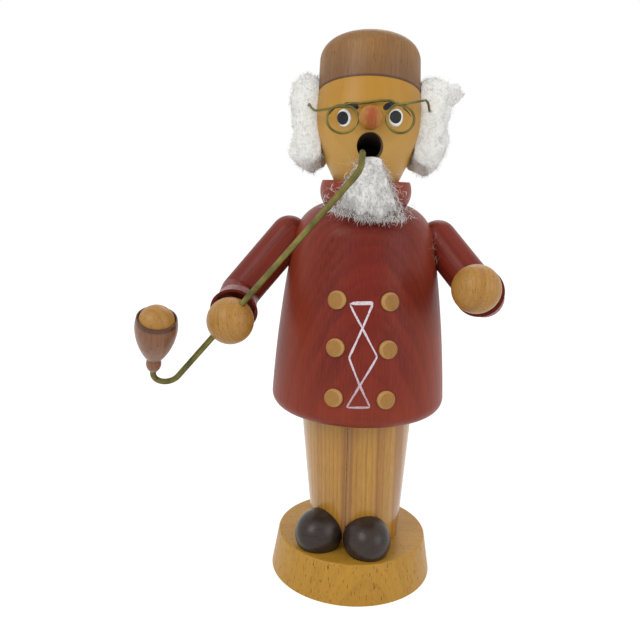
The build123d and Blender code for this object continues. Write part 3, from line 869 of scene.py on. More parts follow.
def paint_drop(place: Place, centre: Triple, size: Pair, node: str, height: float) -> Skin:
    """A flat drop of paint: an ellipse on the node's skin, whose height over the skin is
    1 less the fourth power of the share of its radius, closed by a shallow underside.

    Args:
        place: the frame of the drop; its depth axis looks into the node.
        centre: the drop's middle there, in millimetres.
        size: its half width and half height, in millimetres.
        node: the CAD node that is painted.
        height: how proud its middle stands, in millimetres.

    Returns:
        The corners and triangles.
    """
    underside = [-0.05, -0.06, -0.06]
    out, turn = np.linspace(0, 1, 9), around(40)
    share = np.concatenate([out, np.linspace(1, 0, 4)[1:]])[:, None]
    lift = np.concatenate([height * (1 - out ** 4), underside])
    x = centre[0] + share * size[0] * np.cos(turn)
    z = centre[2] + share * size[1] * np.sin(turn)
    flat = place.points(np.stack([x, np.full_like(x, centre[1]), z], -1))
    on_skin = settled(flat, node)
    outward = unit(on_skin.mean(axis=(0, 1)) - place.points(np.array([0, 0, centre[2]])))
    return skin(on_skin + outward * (lift * MM)[:, None, None])


def tube(path: np.ndarray, radius: float, aside: Triple) -> Skin:
    """A round wire: a circle carried along a path, square to it, with ends rounded by one
    smaller circle and a pole.

    Args:
        path: the middle line, in metres.
        radius: the wire's radius, in metres.
        aside: a direction that the path never follows.

    Returns:
        The corners and triangles.
    """
    corners = 14
    direction = unit(np.gradient(path, axis=0))
    first = unit(np.cross(direction, np.array(aside, float)))
    second = np.cross(direction, first)
    turn = around(corners)[:, None]
    ring = first[:, None] * np.cos(turn) + second[:, None] * np.sin(turn)
    start = path[0] - direction[0] * radius * 0.4 + ring[0] * radius * 0.6
    end = path[-1] + direction[-1] * radius * 0.4 + ring[-1] * radius * 0.6
    start_pole = np.broadcast_to(path[0] - direction[0] * radius * 0.6, ring[0].shape)
    end_pole = np.broadcast_to(path[-1] + direction[-1] * radius * 0.6, ring[0].shape)
    grid = path[:, None] + ring * radius
    return skin(np.concatenate([[start_pole], [start], grid, [end], [end_pole]]))


def softened(corners: np.ndarray, step: float, reach: float) -> np.ndarray:
    """A line through corners, with the corners rounded: points every step along it, each
    the mean of those within reach, with its two ends kept.

    Args:
        corners: the corners, one in each row.
        step: the distance between points.
        reach: how far the rounding reaches.

    Returns:
        The points.
    """
    runs = np.linalg.norm(np.diff(corners, axis=0), axis=1)
    travelled = np.concatenate([[0], np.cumsum(runs)])
    places = np.linspace(0, travelled[-1], max(int(travelled[-1] / step), 4))
    even = np.stack([np.interp(places, travelled, c) for c in corners.T], -1)
    half = max(int(reach / step), 1)
    before = 2 * even[0] - even[half:0:-1]
    after = 2 * even[-1] - even[-2 : -half - 2 : -1]
    padded = np.concatenate([before, even, after])
    kernel = np.hanning(2 * half + 3)[1:-1]
    kernel /= kernel.sum()
    return np.stack([np.convolve(c, kernel, "valid") for c in padded.T], -1)


def lumps(points: np.ndarray, size: float, rng: np.random.Generator) -> np.ndarray:
    """Smooth random heights about 0: the mean of plane waves in random directions, each a
    sine of the distance along it.

    Args:
        points: where they are read.
        size: the lumps' width, in the points' unit.
        rng: the random numbers.

    Returns:
        One height for each point, mostly from -1 to 1.
    """
    waves = 24
    directions = unit(rng.normal(size=(waves, 3)))
    directions = directions * (np.pi / size) * rng.uniform(0.6, 1.4, (waves, 1))
    starts = rng.uniform(0, 2 * np.pi, waves)
    return np.sin(points @ directions.T + starts).sum(axis=-1) / np.sqrt(waves)


def fibres(
    roots: np.ndarray,
    directions: np.ndarray,
    lengths: np.ndarray,
    radii: np.ndarray,
    curl: float,
    rng: np.random.Generator,
) -> Skin:
    """Many fine fibres: each a three-sided spike in three runs, whose middle line is its
    root, plus its direction times the share of its length, plus a bend that grows with the
    square of that share and a twist that goes as its sine.

    Args:
        roots: where they start, in metres.
        directions: where they point.
        lengths: how long each is, in metres.
        radii: each one's radius at its root, in millimetres.
        curl: the bend, as a share of the length.
        rng: the random numbers.

    Returns:
        The corners and triangles.
    """
    twist_turns, twist_share = 4, 0.4
    thinning = np.array([1.0, 0.85, 0.6])
    count = len(roots)
    direction = unit(directions)
    bend = unit(np.cross(direction, rng.normal(size=(count, 3))))
    twist = np.cross(direction, bend)
    share = np.linspace(0, 1, 4)[None, :, None]
    phase = rng.uniform(0, 2 * np.pi, (count, 1, 1))
    reach = lengths[:, None, None]
    wave = np.sin(share * twist_turns + phase) - np.sin(phase)
    path = roots[:, None] + direction[:, None] * share * reach
    path = path + bend[:, None] * share ** 2 * reach * curl
    path = path + twist[:, None] * wave * reach * curl * twist_share
    turn = around(3)[None, :, None]
    ring = bend[:, None] * np.cos(turn) + twist[:, None] * np.sin(turn)
    thick = radii[:, None] * MM * thinning
    rings = path[:, :3, None] + ring[:, None] * thick[:, :, None, None]
    points = np.concatenate([rings.reshape(count, 9, 3), path[:, 3:4]], axis=1)
    one = [(6, 7, 9), (7, 8, 9), (8, 6, 9), (0, 2, 1)]
    for low, side in product((0, 3), range(3)):
        this, other = low + side, low + (side + 1) % 3
        one += [(this, other, other + 3), (this, other + 3, this + 3)]
    faces = np.array(one)[None] + np.arange(count)[:, None, None] * points.shape[1]
    return points.reshape(-1, 3), faces.reshape(-1, 3)


# The object's parts


@dataclass
class Stand:
    """The base, the legs and the shoes, with what is hidden in them. Lengths in mm; groove gives
    where the painted shade of its brown band starts and is full, and the same for the painted
    light of its pale bottom."""

    base_pith: Pair = (20.0, -160.0)
    legs_pith: Pair = (-90.0, 16.0)
    legs_turn: float = -10.0
    groove_band: Pair = (2.3, 1.3)
    groove_bottom: Pair = (0.75, 0.4)
    shoe_pith: Pair = (3.0, 14.0)
    toes: tuple = ((Side.LEFT, -43.0), (Side.RIGHT, 15.0))
    dowel_pith: Pair = (9.0, 40.0)

    def build(self) -> None:
        """Dresses every node of the stand."""
        dress("base", BEECH.plain("base_beech", Place(), self.base_pith, 3.0))
        self.dress_legs()
        self.dress_shoes()
        plain = BEECH.plain("dowel_beech", Place(), self.dowel_pith, 17.0)
        dress("leg_dowel", plain)
        dress("shoe_pins", plain)
        dress("incense_plate", TIN.dress("plate_tin"))
        dress("plate_nail", STEEL.dress("nail_steel"))

    def dress_legs(self) -> None:
        """Straight-grained beech with a thicker lacquer; the groove in front and the one behind
        each get a soft brown band of painted shade, with a pale bottom of painted light that
        offsets the groove's own shade."""
        shade = Shade.named("legs_beech")
        grown = OILED_BEECH.grow(shade, Place(), self.legs_pith, 11.0)
        turn = np.radians(self.legs_turn)
        across, depth = (np.cos(turn), np.sin(turn), 0), (-np.sin(turn), np.cos(turn), 0)
        aside = abs(shade.local(Place(across=across, depth=depth))[0])
        # painted shade: a soft brown band along each groove; painted light: a paler bottom
        # inside it
        grown.lay(aside.rising(*self.groove_band) * 0.75, GROOVE_PAINTED_SHADE)
        grown.lay(aside.rising(*self.groove_bottom) * 0.9, GROOVE_PAINTED_LIGHT)
        dress("legs", OILED_BEECH.finish(shade, grown))

    def dress_shoes(self) -> None:
        """Wood stained nearly black, with the grain along each shoe."""
        for side, azimuth in self.toes:
            turn = np.radians(azimuth)
            toe = Place.on_axis((0, 0, 0), (np.sin(turn), -np.cos(turn), 0), (0, 0, 1))
            name, seed = f"{side.word}_shoe", 5.0 * side.value
            dress(name, STAINED.plain(f"{name}_stain", toe, self.shoe_pith, seed))


@dataclass
class Coat:
    """The coat with its collar, buttons and painted lacing. Lengths in mm. An edge gives where a
    laid colour starts and where it is full: a stain on the chest, and painted reflected light at
    the sides and the hem. The lines' corners are across and up."""

    pith: Pair = (-1.5, 20.0)
    side_sheen_edge: Pair = (12.0, 24.0)
    hem_light_edge: Pair = (86.0, 70.0)
    heart: Pair = (-1.0, 112.0)
    heart_squash: float = 0.38
    heart_edge: Pair = (11.0, 3.0)
    button_pith: Pair = (12.0, 30.0)
    rim_edge: Pair = (2.35, 2.75)
    front: float = -30.0
    lace_half_width: float = 0.34
    bar_half_width: float = 0.62
    paint_height: float = 0.09
    top_bar: tuple = ((-5.9, 108.7), (-4.6, 109.0), (2.6, 109.3))
    laces: tuple = (
        ((-5.6, 108.6), (-0.9, 100.8), (4.37, 91.45), (-1.0, 81.6), (-4.96, 73.95)),
        ((2.4, 109.1), (-0.9, 100.8), (-4.94, 90.8), (-1.0, 81.6), (2.55, 74.3)),
        ((-5.0, 73.95), (2.55, 74.3)),
    )

    def build(self) -> None:
        """Dresses the coat, the collar and the buttons, and paints the lacing."""
        self.dress_red("coat", seed=0.0, pale_share=0.0)
        self.dress_red("collar", seed=31.0, pale_share=0.55)
        self.dress_buttons()
        self.paint_lacing()

    def dress_red(self, node: str, seed: float, pale_share: float) -> None:
        """Mahogany stain: the rings lie round a pith behind the chest, so that they make arches
        there. The sides and the hem are paler with painted reflected light, a sheen at the sides
        and light off the floor at the hem, and the heart of the chest is redder.

        Args:
            node: the node.
            seed: moves the random parts.
            pale_share: how much of the paler red is laid over the whole.
        """
        shade = Shade.named(f"{node}_mahogany")
        grown = MAHOGANY.grow(shade, Place(), self.pith, seed)
        x, _, z = shade.local()
        # painted reflected light: a paler red at the sides, as a sheen, and at the hem, as light
        # off the floor; on the collar a paler tone all over
        side = abs(x).rising(*self.side_sheen_edge) * 0.4
        hem = z.rising(*self.hem_light_edge) * 0.35
        grown.lay(side.largest(hem).largest(pale_share), SHEEN_AND_PALE_RED)
        aside, above = x - self.heart[0], (z - self.heart[1]) * self.heart_squash
        from_heart = (aside ** 2 + above ** 2).root()
        grown.lay(from_heart.rising(*self.heart_edge) * 0.5, HEART_RED)
        dress(node, MAHOGANY.finish(shade, grown))

    def dress_buttons(self) -> None:
        """Pale discs whose turned edge is lighter than the face."""
        for number, (row, side) in enumerate(product(("top", "middle", "bottom"), Side), 1):
            node = f"{row}_{side.word}_button"
            centre = middle_of(node)
            shade = Shade.named(f"{node}_wood")
            grown = PALE.grow(shade, Place(), self.button_pith, 7.0 * number)
            face = Place.on_axis(centre, (centre[0], centre[1], 0), (0, 0, 1))
            u, v, _ = shade.local(face)
            rim = (u ** 2 + v ** 2).root().rising(*self.rim_edge)
            grown.lay(0.5, BUTTON_FACE)
            grown.lay(rim * 0.5, BUTTON_RIM)
            dress(node, PALE.finish(shade, grown))

    def paint_lacing(self) -> None:
        """One white piece: the crossed laces and the thicker bar at their top."""
        rng = np.random.default_rng(41)
        strokes = [self.lace(line, self.lace_half_width, rng) for line in self.laces]
        strokes.append(self.lace(self.top_bar, self.bar_half_width, rng, tapered=True))
        piece("lacing", WHITE_PAINT.dress("lacing_paint"), *strokes)

    def lace(
        self, corners: tuple, half_width: float, rng: np.random.Generator, tapered: bool = False
    ) -> Skin:
        """One painted line on the coat's front.

        Args:
            corners: its corners, across and up, in millimetres.
            half_width: half its width.
            rng: the random numbers for the brush's unevenness.
            tapered: whether it starts in a point.

        Returns:
            The corners and triangles.
        """
        step, reach, unevenness = 0.35 * MM, 0.7 * MM, 0.16
        flat = np.array([(x, self.front, z) for x, z in corners]) * MM
        line = softened(flat, step, reach)
        count = len(line)
        knots = np.arange(0, count + 6, 6)
        waver = np.interp(np.arange(count), knots, rng.normal(size=len(knots)))
        share = np.linspace(0, 1, count)
        ends = np.minimum(1, 0.35 + np.minimum(share, 1 - share) * count / 3)
        if tapered:
            ends = ends * np.minimum(1, 0.3 + share * 3)
        widths = half_width * MM * (1 + unevenness * waver) * ends
        return brush_stroke(line, widths, "coat", Place(), self.paint_height)


@dataclass(frozen=True)
class Arm:
    """One arm: the upper arm, the sleeve with its pale cuff band, and the ball hand, by the
    ways that the upper arm and the sleeve point. Lengths in mm."""

    side: Side
    upper: Triple
    sleeve: Triple
    shoulder_side: float = 26.8
    shoulder_height: float = 128.6
    length: float = 27.7
    sleeve_length: float = 13.0
    band_length: float = 6.3
    band_edge: float = 0.9
    wall: Pair = (6.6, 6.95)
    pith: Pair = (4.0, 18.0)
    hand_pith: Pair = (70.0, 26.0)

    def along(self, direction: Triple) -> Place:
        """A frame in the middle of the elbow.

        Args:
            direction: the way of its third axis.

        Returns:
            The frame.
        """
        shoulder = np.array([self.side.value * self.shoulder_side, 0, self.shoulder_height])
        elbow = shoulder + unit(np.array(self.upper)) * self.length
        return Place.on_axis(tuple(elbow), direction)

    def build(self) -> None:
        """Dresses the upper arm in the coat's red, with the grain along it, then the rest."""
        word, sign = self.side.word, self.side.value
        upper = self.along(self.upper)
        red = MAHOGANY.plain(f"{word}_arm_mahogany", upper, self.pith, 13.0 * sign)
        dress(f"{word}_upper_arm", red)
        self.dress_sleeve()
        hand = f"{word}_hand"
        tilted = Place.on_axis(middle_of(hand), (0.08 * sign, 0.25, 1))
        pith = (self.hand_pith[0], self.hand_pith[1] * sign)
        dress(hand, PALE.plain(f"{hand}_wood", tilted, pith, 29.0 * sign))

    def dress_sleeve(self) -> None:
        """The coat's red, with a thin milky band of paint round the cuff's outside."""
        name = f"{self.side.word}_sleeve"
        shade = Shade.named(f"{name}_mahogany")
        along = self.along(self.sleeve)
        grown = MAHOGANY.grow(shade, along, self.pith, 19.0 * self.side.value)
        x, y, z = shade.local(along)
        uneven = shade.noise(shade.joined(x, y, z), 0.35, 3, 0.6)
        start = self.sleeve_length - self.band_length
        band = (z + uneven * 1.6 - 0.8).rising(start, start + self.band_edge)
        outside = (x ** 2 + y ** 2).root().rising(*self.wall)
        rim = z.rising(self.sleeve_length - 0.25, self.sleeve_length - 0.6)
        milk = band * outside * rim * (uneven.rising(0.2, 0.75) * 0.26 + 0.1)
        grown.lay(milk, CUFF_MILK)
        dress(name, MAHOGANY.finish(shade, grown))


@dataclass
class Arms:
    """Both arms, and the dowels and pegs that hold them."""

    left: Arm = Arm(Side.LEFT, (-0.622, -0.170, -0.764), (-0.046, -0.941, -0.335))
    right: Arm = Arm(Side.RIGHT, (0.539, -0.506, -0.673), (-0.351, -0.897, 0.268))
    dowel_pith: Pair = (7.0, 33.0)

    def build(self) -> None:
        """Dresses both arms and what joins them."""
        self.left.build()
        self.right.build()
        plain = BEECH.plain("arm_dowel_beech", Place(), self.dowel_pith, 23.0)
        for node in ("shoulder_dowels", "elbow_dowels", "hand_pegs"):
            dress(node, plain)


@dataclass
class Pipe:
    """The pipe: a brass rod, a ring, the bowl and the bead in it. Lengths in mm."""

    bowl_axis: Triple = (0.175, -0.43, 0.886)
    bowl_pith: Pair = (5.0, 12.0)
    turned_pith: Pair = (6.0, 14.0)
    rim_edge: Pair = (5.2, 6.1)

    def build(self) -> None:
        """Dresses the four nodes."""
        dress("pipe_stem", BRASS.dress("pipe_brass"))
        for node, wood, seed in (("pipe_ring", REDDISH, 2.0), ("pipe_bead", PALE, 37.0)):
            dress(node, wood.plain(f"{node}_wood", self.along(node), self.turned_pith, seed))
        self.dress_bowl()

    def along(self, node: str) -> Place:
        """A frame along the bowl's axis, in the middle of a node."""
        return Place.on_axis(middle_of(node), self.bowl_axis)

    def dress_bowl(self) -> None:
        """The bowl, with a darker rim."""
        shade = Shade.named("pipe_bowl_wood")
        place = self.along("pipe_bowl")
        grown = REDDISH.grow(shade, place, self.bowl_pith, 4.0)
        _, _, z = shade.local(place)
        grown.lay(z.rising(*self.rim_edge) * 0.7, BOWL_RIM)
        dress("pipe_bowl", REDDISH.finish(shade, grown))


@dataclass(frozen=True)
class Lens:
    """One round of the spectacles' wire, in the head's frame. Lengths in mm; size is half
    its width and half its height."""

    side: Side
    centre: Triple
    size: Pair

    FROM_TO: ClassVar[Pair] = (96.0, -236.0)
    CROSSING: ClassVar[Pair] = (0.45, -0.5)

    def loop(self) -> np.ndarray:
        """The wire comes from the bridge over the top of the ring, goes down its outside
        and up its inside, and crosses its own start in front: an ellipse whose depth runs
        evenly from one end to the other.

        Returns:
            Points along the wire, from the bridge on.
        """
        turn = np.radians(np.linspace(*self.FROM_TO, 60))
        x = self.centre[0] + self.side.value * self.size[0] * np.cos(turn)
        z = self.centre[2] + self.size[1] * np.sin(turn)
        y = self.centre[1] + np.linspace(*self.CROSSING, 60)
        return np.stack([x, y, z], -1)


@dataclass
class Head:
    """The head with its painted face, the nose, the hat and the spectacles. Lengths in mm, in
    the head's own frame, which leans back. An edge gives where a laid colour starts and where it
    is full, in height or in distance; some are stains and paint, and some are painted shade."""

    lean: float = 13.0
    turn: float = -1.5
    neck_height: float = 148.5
    chin_edge: Pair = (20.0, 8.0)
    forehead_edge: Pair = (22.0, 27.0)
    mouth_centre: Pair = (0.5, 8.1)
    rim_shade_edge: Pair = (4.5, 4.2)
    nose_tip: Pair = (0.3, 15.4)
    nose_squash: float = 0.65
    nose_edge: Pair = (3.2, 0.9)
    hat_edges: tuple = ((44.0, 31.5), (32.2, 31.1), (31.9, 31.5))
    eye_height: float = 0.10
    pupil_height: float = 0.20
    brow_height: float = 0.08
    wire_radius: float = 0.42
    left_lens: Lens = Lens(Side.LEFT, (-9.25, -19.6, 15.7), (5.15, 4.8))
    right_lens: Lens = Lens(Side.RIGHT, (9.83, -19.6, 16.25), (4.65, 4.75))
    left_temple: tuple = (
        (-11.0, -20.3, 19.5), (-13.4, -18.7, 19.4), (-16.3, -15.9, 19.8), (-18.8, -12.9, 20.6),
        (-20.1, -11.2, 22.2), (-20.9, -9.5, 24.0), (-21.7, -1.5, 26.2),
    )
    right_temple: tuple = (
        (8.2, -20.4, 20.8), (12.2, -19.7, 21.5), (15.5, -17.1, 23.1), (18.9, -13.1, 25.2),
        (20.0, -11.2, 24.7), (20.6, -9.0, 23.4), (21.9, -1.5, 25.2),
    )
    bridge: tuple = (
        (-6.5, -19.8, 20.9), (-3.7, -19.9, 20.9), (2.7, -19.9, 22.0), (6.8, -19.8, 22.2),
    )

    @property
    def place(self) -> Place:
        """The head's frame, leant back and turned a little.

        Returns:
            The frame, with its origin at the top of the neck.
        """
        lean, turn = np.radians(self.lean), np.radians(self.turn)
        spin = np.array(
            [[np.cos(turn), -np.sin(turn), 0], [np.sin(turn), np.cos(turn), 0], [0, 0, 1]]
        )
        along = spin @ np.array([0, np.sin(lean), np.cos(lean)])
        across = spin @ np.array([1.0, 0, 0])
        depth = np.cross(along, across)
        return Place((0, 0, self.neck_height), tuple(across), tuple(depth), tuple(along))

    def build(self) -> None:
        """Dresses the head's nodes, paints the face and bends the spectacles."""
        self.dress_head()
        self.dress_nose()
        self.dress_hat()
        self.paint_eyes()
        self.paint_brows()
        self.bend_spectacles()
        dress("spectacles", BRASS.dress("spectacles_brass"))
        plain = BEECH.plain("neck_beech", self.place, (7.0, 29.0), 43.0)
        dress("neck_tube", plain)
        dress("hat_dowel", plain)

    def dress_head(self) -> None:
        """Honey-coloured wood, paler at the chin and more golden at the forehead. Its channel,
        inside a wall that is a cone, is darkened with painted shade and made rougher, and the
        mouth's rim is darkened with painted shade too."""
        shade = Shade.named("head_wood")
        grown = HONEY.grow(shade, self.place, (6.0, 44.0), 8.0)
        x, y, z = shade.local(self.place)
        # painted shade: the hollow inside the head, seen through the mouth, is darkened and made
        # rougher
        wall = z * 0.41 + 11.9
        inside = (wall - (x ** 2 + y ** 2).root()).rising(0.35, 0.8)
        inside = inside * z.rising(16, 15) * z.rising(-5.5, -5)
        grown.lay(z.rising(*self.chin_edge) * 0.45, CHIN_PALE)
        grown.lay(z.rising(*self.forehead_edge) * 0.5, FOREHEAD_GOLD)
        # painted shade: the mouth's rim, in front, is darkened
        aside, above = x - self.mouth_centre[0], z - self.mouth_centre[1]
        from_mouth = (aside ** 2 + above ** 2).root()
        in_front = y.rising(0, -4)
        grown.lay(from_mouth.rising(*self.rim_shade_edge) * in_front * 0.9, MOUTH_RIM_SHADE)
        grown.lay(inside, MOUTH_HOLLOW_SHADE)
        grown.roughness = grown.roughness + inside * 0.4
        dress("head", HONEY.finish(shade, grown))

    def dress_nose(self) -> None:
        """A bead with a red patch on its tip that has run out along the grain in streaks."""
        shade = Shade.named("nose_wood")
        grown = HONEY.grow(shade, self.place, (-5.0, -12.0), 15.0)
        x, _, z = shade.local(self.place)
        aside, above = x - self.nose_tip[0], (z - self.nose_tip[1]) * self.nose_squash
        threads = shade.noise(shade.joined(x * 6.0, 0, z * 0.25), 1, 1)
        streaked = (aside ** 2 + above ** 2).root() + (threads - 0.5) * 5.0
        grown.lay(0.5, NOSE_BROWN)
        grown.lay(streaked.rising(*self.nose_edge) * 0.75, NOSE_RED)
        dress("nose", HONEY.finish(shade, grown))

    def dress_hat(self) -> None:
        """Walnut-brown wood with fine upright grain, darkened low down with painted shade, and
        with a thin dark line of painted shadow at its lower edge."""
        shade = Shade.named("hat_wood")
        grown = WALNUT.grow(shade, self.place, (9.0, 58.0), 21.0)
        _, _, z = shade.local(self.place)
        slope, foot, line = (z.rising(*edge) for edge in self.hat_edges)
        # painted shade on the hat's lower part, and a painted shadow along its lower edge
        grown.lay(slope * 0.42 + foot * 0.25, HAT_SHADE)
        grown.lay(line * 0.6, HAT_EDGE_SHADOW)
        dress("hat", WALNUT.finish(shade, grown))

    def paint_eyes(self) -> None:
        """Two white ovals and, on them, two black pupils. The pupils' size is at the skin
        of the head, and the white covers their edge."""
        white = EYE_WHITE.dress("eye_white")
        black = BLACK_PAINT.dress("pupil_black")
        ovals = (
            ("left_eye_white", white, (-8.9, -16.0, 17.2), (3.1, 3.0), self.eye_height),
            ("right_eye_white", white, (8.95, -16.0, 17.8), (3.2, 3.05), self.eye_height),
            ("left_pupil", black, (-9.25, -16.0, 17.2), (2.75, 2.5), self.pupil_height),
            ("right_pupil", black, (8.65, -16.0, 17.95), (2.75, 2.4), self.pupil_height),
        )
        for name, paint, centre, size, height in ovals:
            piece(name, paint, paint_drop(self.place, centre, size, "head", height))

    def paint_brows(self) -> None:
        """Two black brows, thick at the nose, and a thin line at the outside of each eye."""
        black = BLACK_PAINT.dress("brow_black")
        strokes = (
            ("right_brow", ((4.3, -18.0, 19.8), (5.8, -17.8, 21.3), (9.6, -16.4, 22.7)), 0.95),
            ("left_brow", ((-4.0, -18.1, 19.9), (-5.4, -17.9, 20.9), (-8.7, -16.7, 22.0)), 0.85),
            ("right_lash", ((10.8, -15.2, 21.6), (12.6, -13.8, 20.9), (14.1, -12.1, 19.6)), 0.3),
            (
                "left_lash",
                ((-11.6, -14.5, 21.2), (-12.8, -13.5, 20.5), (-13.8, -12.5, 19.4)),
                0.26,
            ),
        )
        for name, corners, half_width in strokes:
            line = self.place.points(softened(np.array(corners), 0.2, 1.0))
            share = np.linspace(0, 1, len(line))
            swell = np.sin(np.pi * np.minimum(0.97, 0.06 + share ** 0.7 * 0.94)) ** 0.5
            widths = half_width * MM * swell
            stroke = brush_stroke(line, widths, "head", self.place, self.brow_height)
            piece(name, black, stroke)

    def bend_spectacles(self) -> None:
        """One brass wire: hook, temple, lens, bridge, lens, temple, hook."""
        left, right = self.left_lens.loop(), self.right_lens.loop()
        corners = np.concatenate(
            [self.left_temple[::-1], left[::-1], self.bridge, right, self.right_temple]
        )
        path = self.place.points(softened(corners, 0.25, 1.3))
        bent = tube(path, self.wire_radius * MM, tuple(self.place.axes[1]))
        wire = piece("spectacles_wire", BRASS.dress("wire_brass"), bent)
        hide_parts("spectacles")


@dataclass
class Hair:
    """White wool glued round the sides and the back of the head. Lengths in mm and angles
    in degrees, in the head's frame. Its foot is at low beside the face and at low_behind
    at the back; the edges are tables of height and radius."""

    head: Head
    grid_size: tuple = (190, 84)
    crowding: float = 0.25
    front_azimuth: float = 76.0
    front_roundness: float = 34.0
    back_azimuth: float = 105.0
    back_passage: float = 35.0
    bedding: float = 0.4
    tuck: float = 0.4
    squareness: float = 0.45
    low: float = 4.0
    low_behind: float = 12.5
    high: float = 38.3
    lump_layers: tuple = ((8.0, 0.9), (3.2, 0.8), (1.3, 0.25))
    fibre_count: int = 4000
    fibre_length: Pair = (0.6, 1.8)
    core_depth: float = 3.0
    core_height: float = 18.0
    left_edge: tuple = (
        (1.6, 20.0), (4.0, 24.0), (7.3, 28.4), (11.9, 28.4), (22.1, 28.0), (28.7, 30.7),
        (36.0, 29.6), (39.1, 25.5), (40, 22.5),
    )
    right_edge: tuple = (
        (2.0, 22.0), (2.7, 23.5), (4.9, 27.5), (13.6, 30.0), (22, 30.6), (29.4, 31.4),
        (34.8, 38.8), (36.4, 36.0), (39.0, 25.5), (40, 22.5),
    )
    back_edge: tuple = (
        (0, 16.5), (2, 20), (5, 24.5), (10, 27.2), (20, 27.6), (30, 27.0), (36, 25.5), (39, 22),
    )
    head_edge: tuple = (
        (0, 16.6), (5, 16.9), (10, 17.1), (14.5, 18.2), (25.4, 19.1), (31, 18.9), (43, 18.5),
    )

    def outline(self, azimuth: np.ndarray, height: np.ndarray) -> np.ndarray:
        """The wool's outer radius: a measured outline on each side of the head, passing
        into a plain one at the back by the square of the sine of the angle.

        Args:
            azimuth: the angle from the face, positive on the viewer's right, in radians.
            height: the height in the head's frame.

        Returns:
            The radius there.
        """
        left, right, back = (
            np.interp(height, *np.array(edge).T)
            for edge in (self.left_edge, self.right_edge, self.back_edge)
        )
        at_side = np.sin(np.abs(azimuth)) ** 2 * (np.cos(azimuth) > -0.8)
        return back + (np.where(azimuth > 0, right, left) - back) * at_side

    def inner(self, height: np.ndarray) -> np.ndarray:
        """The radius of what the wool is glued to, the head and the hat."""
        return np.interp(height, *np.array(self.head_edge).T)

    @staticmethod
    def rounded(radius: np.ndarray, azimuth: np.ndarray, height: np.ndarray) -> np.ndarray:
        """Points in the head's frame, from their radius, azimuth and height."""
        return np.stack([radius * np.sin(azimuth), -radius * np.cos(azimuth), height], -1)

    def surface(self, rng: np.random.Generator) -> np.ndarray:
        """The wool's skin on a grid. The first parameter goes round the head from one
        temple to the other, with its steps closer at both. The second goes round the
        section, whose height is a cosine; its inside lies on the head, and its outside
        swells from there to the outline, as a power of a sine round the section and as a
        quarter circle along each temple. The foot rises smoothly to the back, and lumps
        stand out along the radius.

        Args:
            rng: the random numbers.

        Returns:
            The grid, in the head's frame.
        """
        rows, columns = self.grid_size
        even = np.linspace(-1, 1, rows)[:, None]
        share = 0.5 + 0.5 * ((1 + self.crowding) * even - self.crowding * even ** 5)
        start = np.radians(self.front_azimuth)
        whole = 2 * np.pi - 2 * start
        azimuth = start + whole * share
        azimuth = np.where(azimuth > np.pi, azimuth - 2 * np.pi, azimuth) * np.ones((1, columns))
        turn = around(columns)[None, :]
        from_end = np.minimum(share, 1 - share) * whole
        near = 1 - np.clip(from_end / np.radians(self.front_roundness), 0, 1)
        swell = np.sqrt(np.clip(1 - near ** 2, 0, 1)) * np.ones((1, columns))
        past = np.abs(azimuth) - np.radians(self.back_azimuth)
        behind = np.clip(past / np.radians(self.back_passage), 0, 1)
        low = self.low + (self.low_behind - self.low) * behind ** 2 * (3 - 2 * behind)
        reach = np.cos(turn) * (self.high - low) / 2 * (0.8 + 0.2 * swell)
        height = (low + self.high) / 2 - reach
        inner = self.inner(height) - self.bedding
        bulge = np.clip((np.sin(turn) + self.tuck) / (1 + self.tuck), 0, 1)
        outside = bulge ** self.squareness * swell
        radius = inner + (self.outline(azimuth, height) - inner) * outside
        plain = self.rounded(radius, azimuth, height)
        lumpy = sum(lumps(plain, size, rng) * weight for size, weight in self.lump_layers)
        radius = radius + lumpy * outside
        height = height + lumpy * 0.5 * outside
        return self.rounded(radius, azimuth, height)

    def build(self) -> None:
        """The wool's body, and fibres that stand out all over it."""
        rng = np.random.default_rng(7)
        grid = self.surface(rng)
        wool = HAIR_WOOL.dress("hair_wool")
        body = piece("hair_wool", wool, skin(self.head.place.points(grid)))
        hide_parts("hair")
        names = ("right_hair_fibres", "back_hair_fibres", "left_hair_fibres")
        for name, rows in zip(names, np.array_split(np.arange(len(grid)), len(names))):
            fibre = piece(name, wool, self.fibres_on(grid, rows, rng))

    def fibres_on(self, grid: np.ndarray, rows: np.ndarray, rng: np.random.Generator) -> Skin:
        """Fibres rooted on some rows of the wool's outside, and where it turns in to the
        head over it and under it. Each leans out, away from the wool's core, and at random.

        Args:
            grid: the wool's skin.
            rows: the rows of it.
            rng: the random numbers.

        Returns:
            The corners and triangles.
        """
        count, turned_in = self.fibre_count, 6
        row = rng.integers(rows[0], rows[-1], count)
        column = rng.integers(-turned_in, grid.shape[1] // 2 + turned_in - 1, count)
        blend = rng.uniform(0, 1, (2, count, 1))
        down = grid[row, column]
        beside = grid[row, (column + 1) % grid.shape[1]]
        after = grid[row + 1, column]
        root = down + (beside - down) * blend[0] + (after - down) * blend[1]
        normal = unit(np.cross(after - down, beside - down))
        core_radius = (self.inner(root[:, 2]) + self.core_depth)[:, None]
        outward = root - unit(root * np.array([1, 1, 0])) * core_radius
        outward = outward - np.array([0, 0, self.core_height])
        outward[:, 1] -= self.core_depth * (root[:, 1] < 0)
        normal = np.where((normal * outward).sum(-1, keepdims=True) < 0, -normal, normal)
        way = normal * 0.55 + rng.normal(size=root.shape) * 0.8
        lengths = rng.uniform(*self.fibre_length, count) * MM
        radii = 0.03 + 0.12 * rng.uniform(0, 1, count) ** 5
        start = self.head.place.points(root - normal * 0.2)
        return fibres(start, way @ self.head.place.axes, lengths, radii, 0.6, rng)


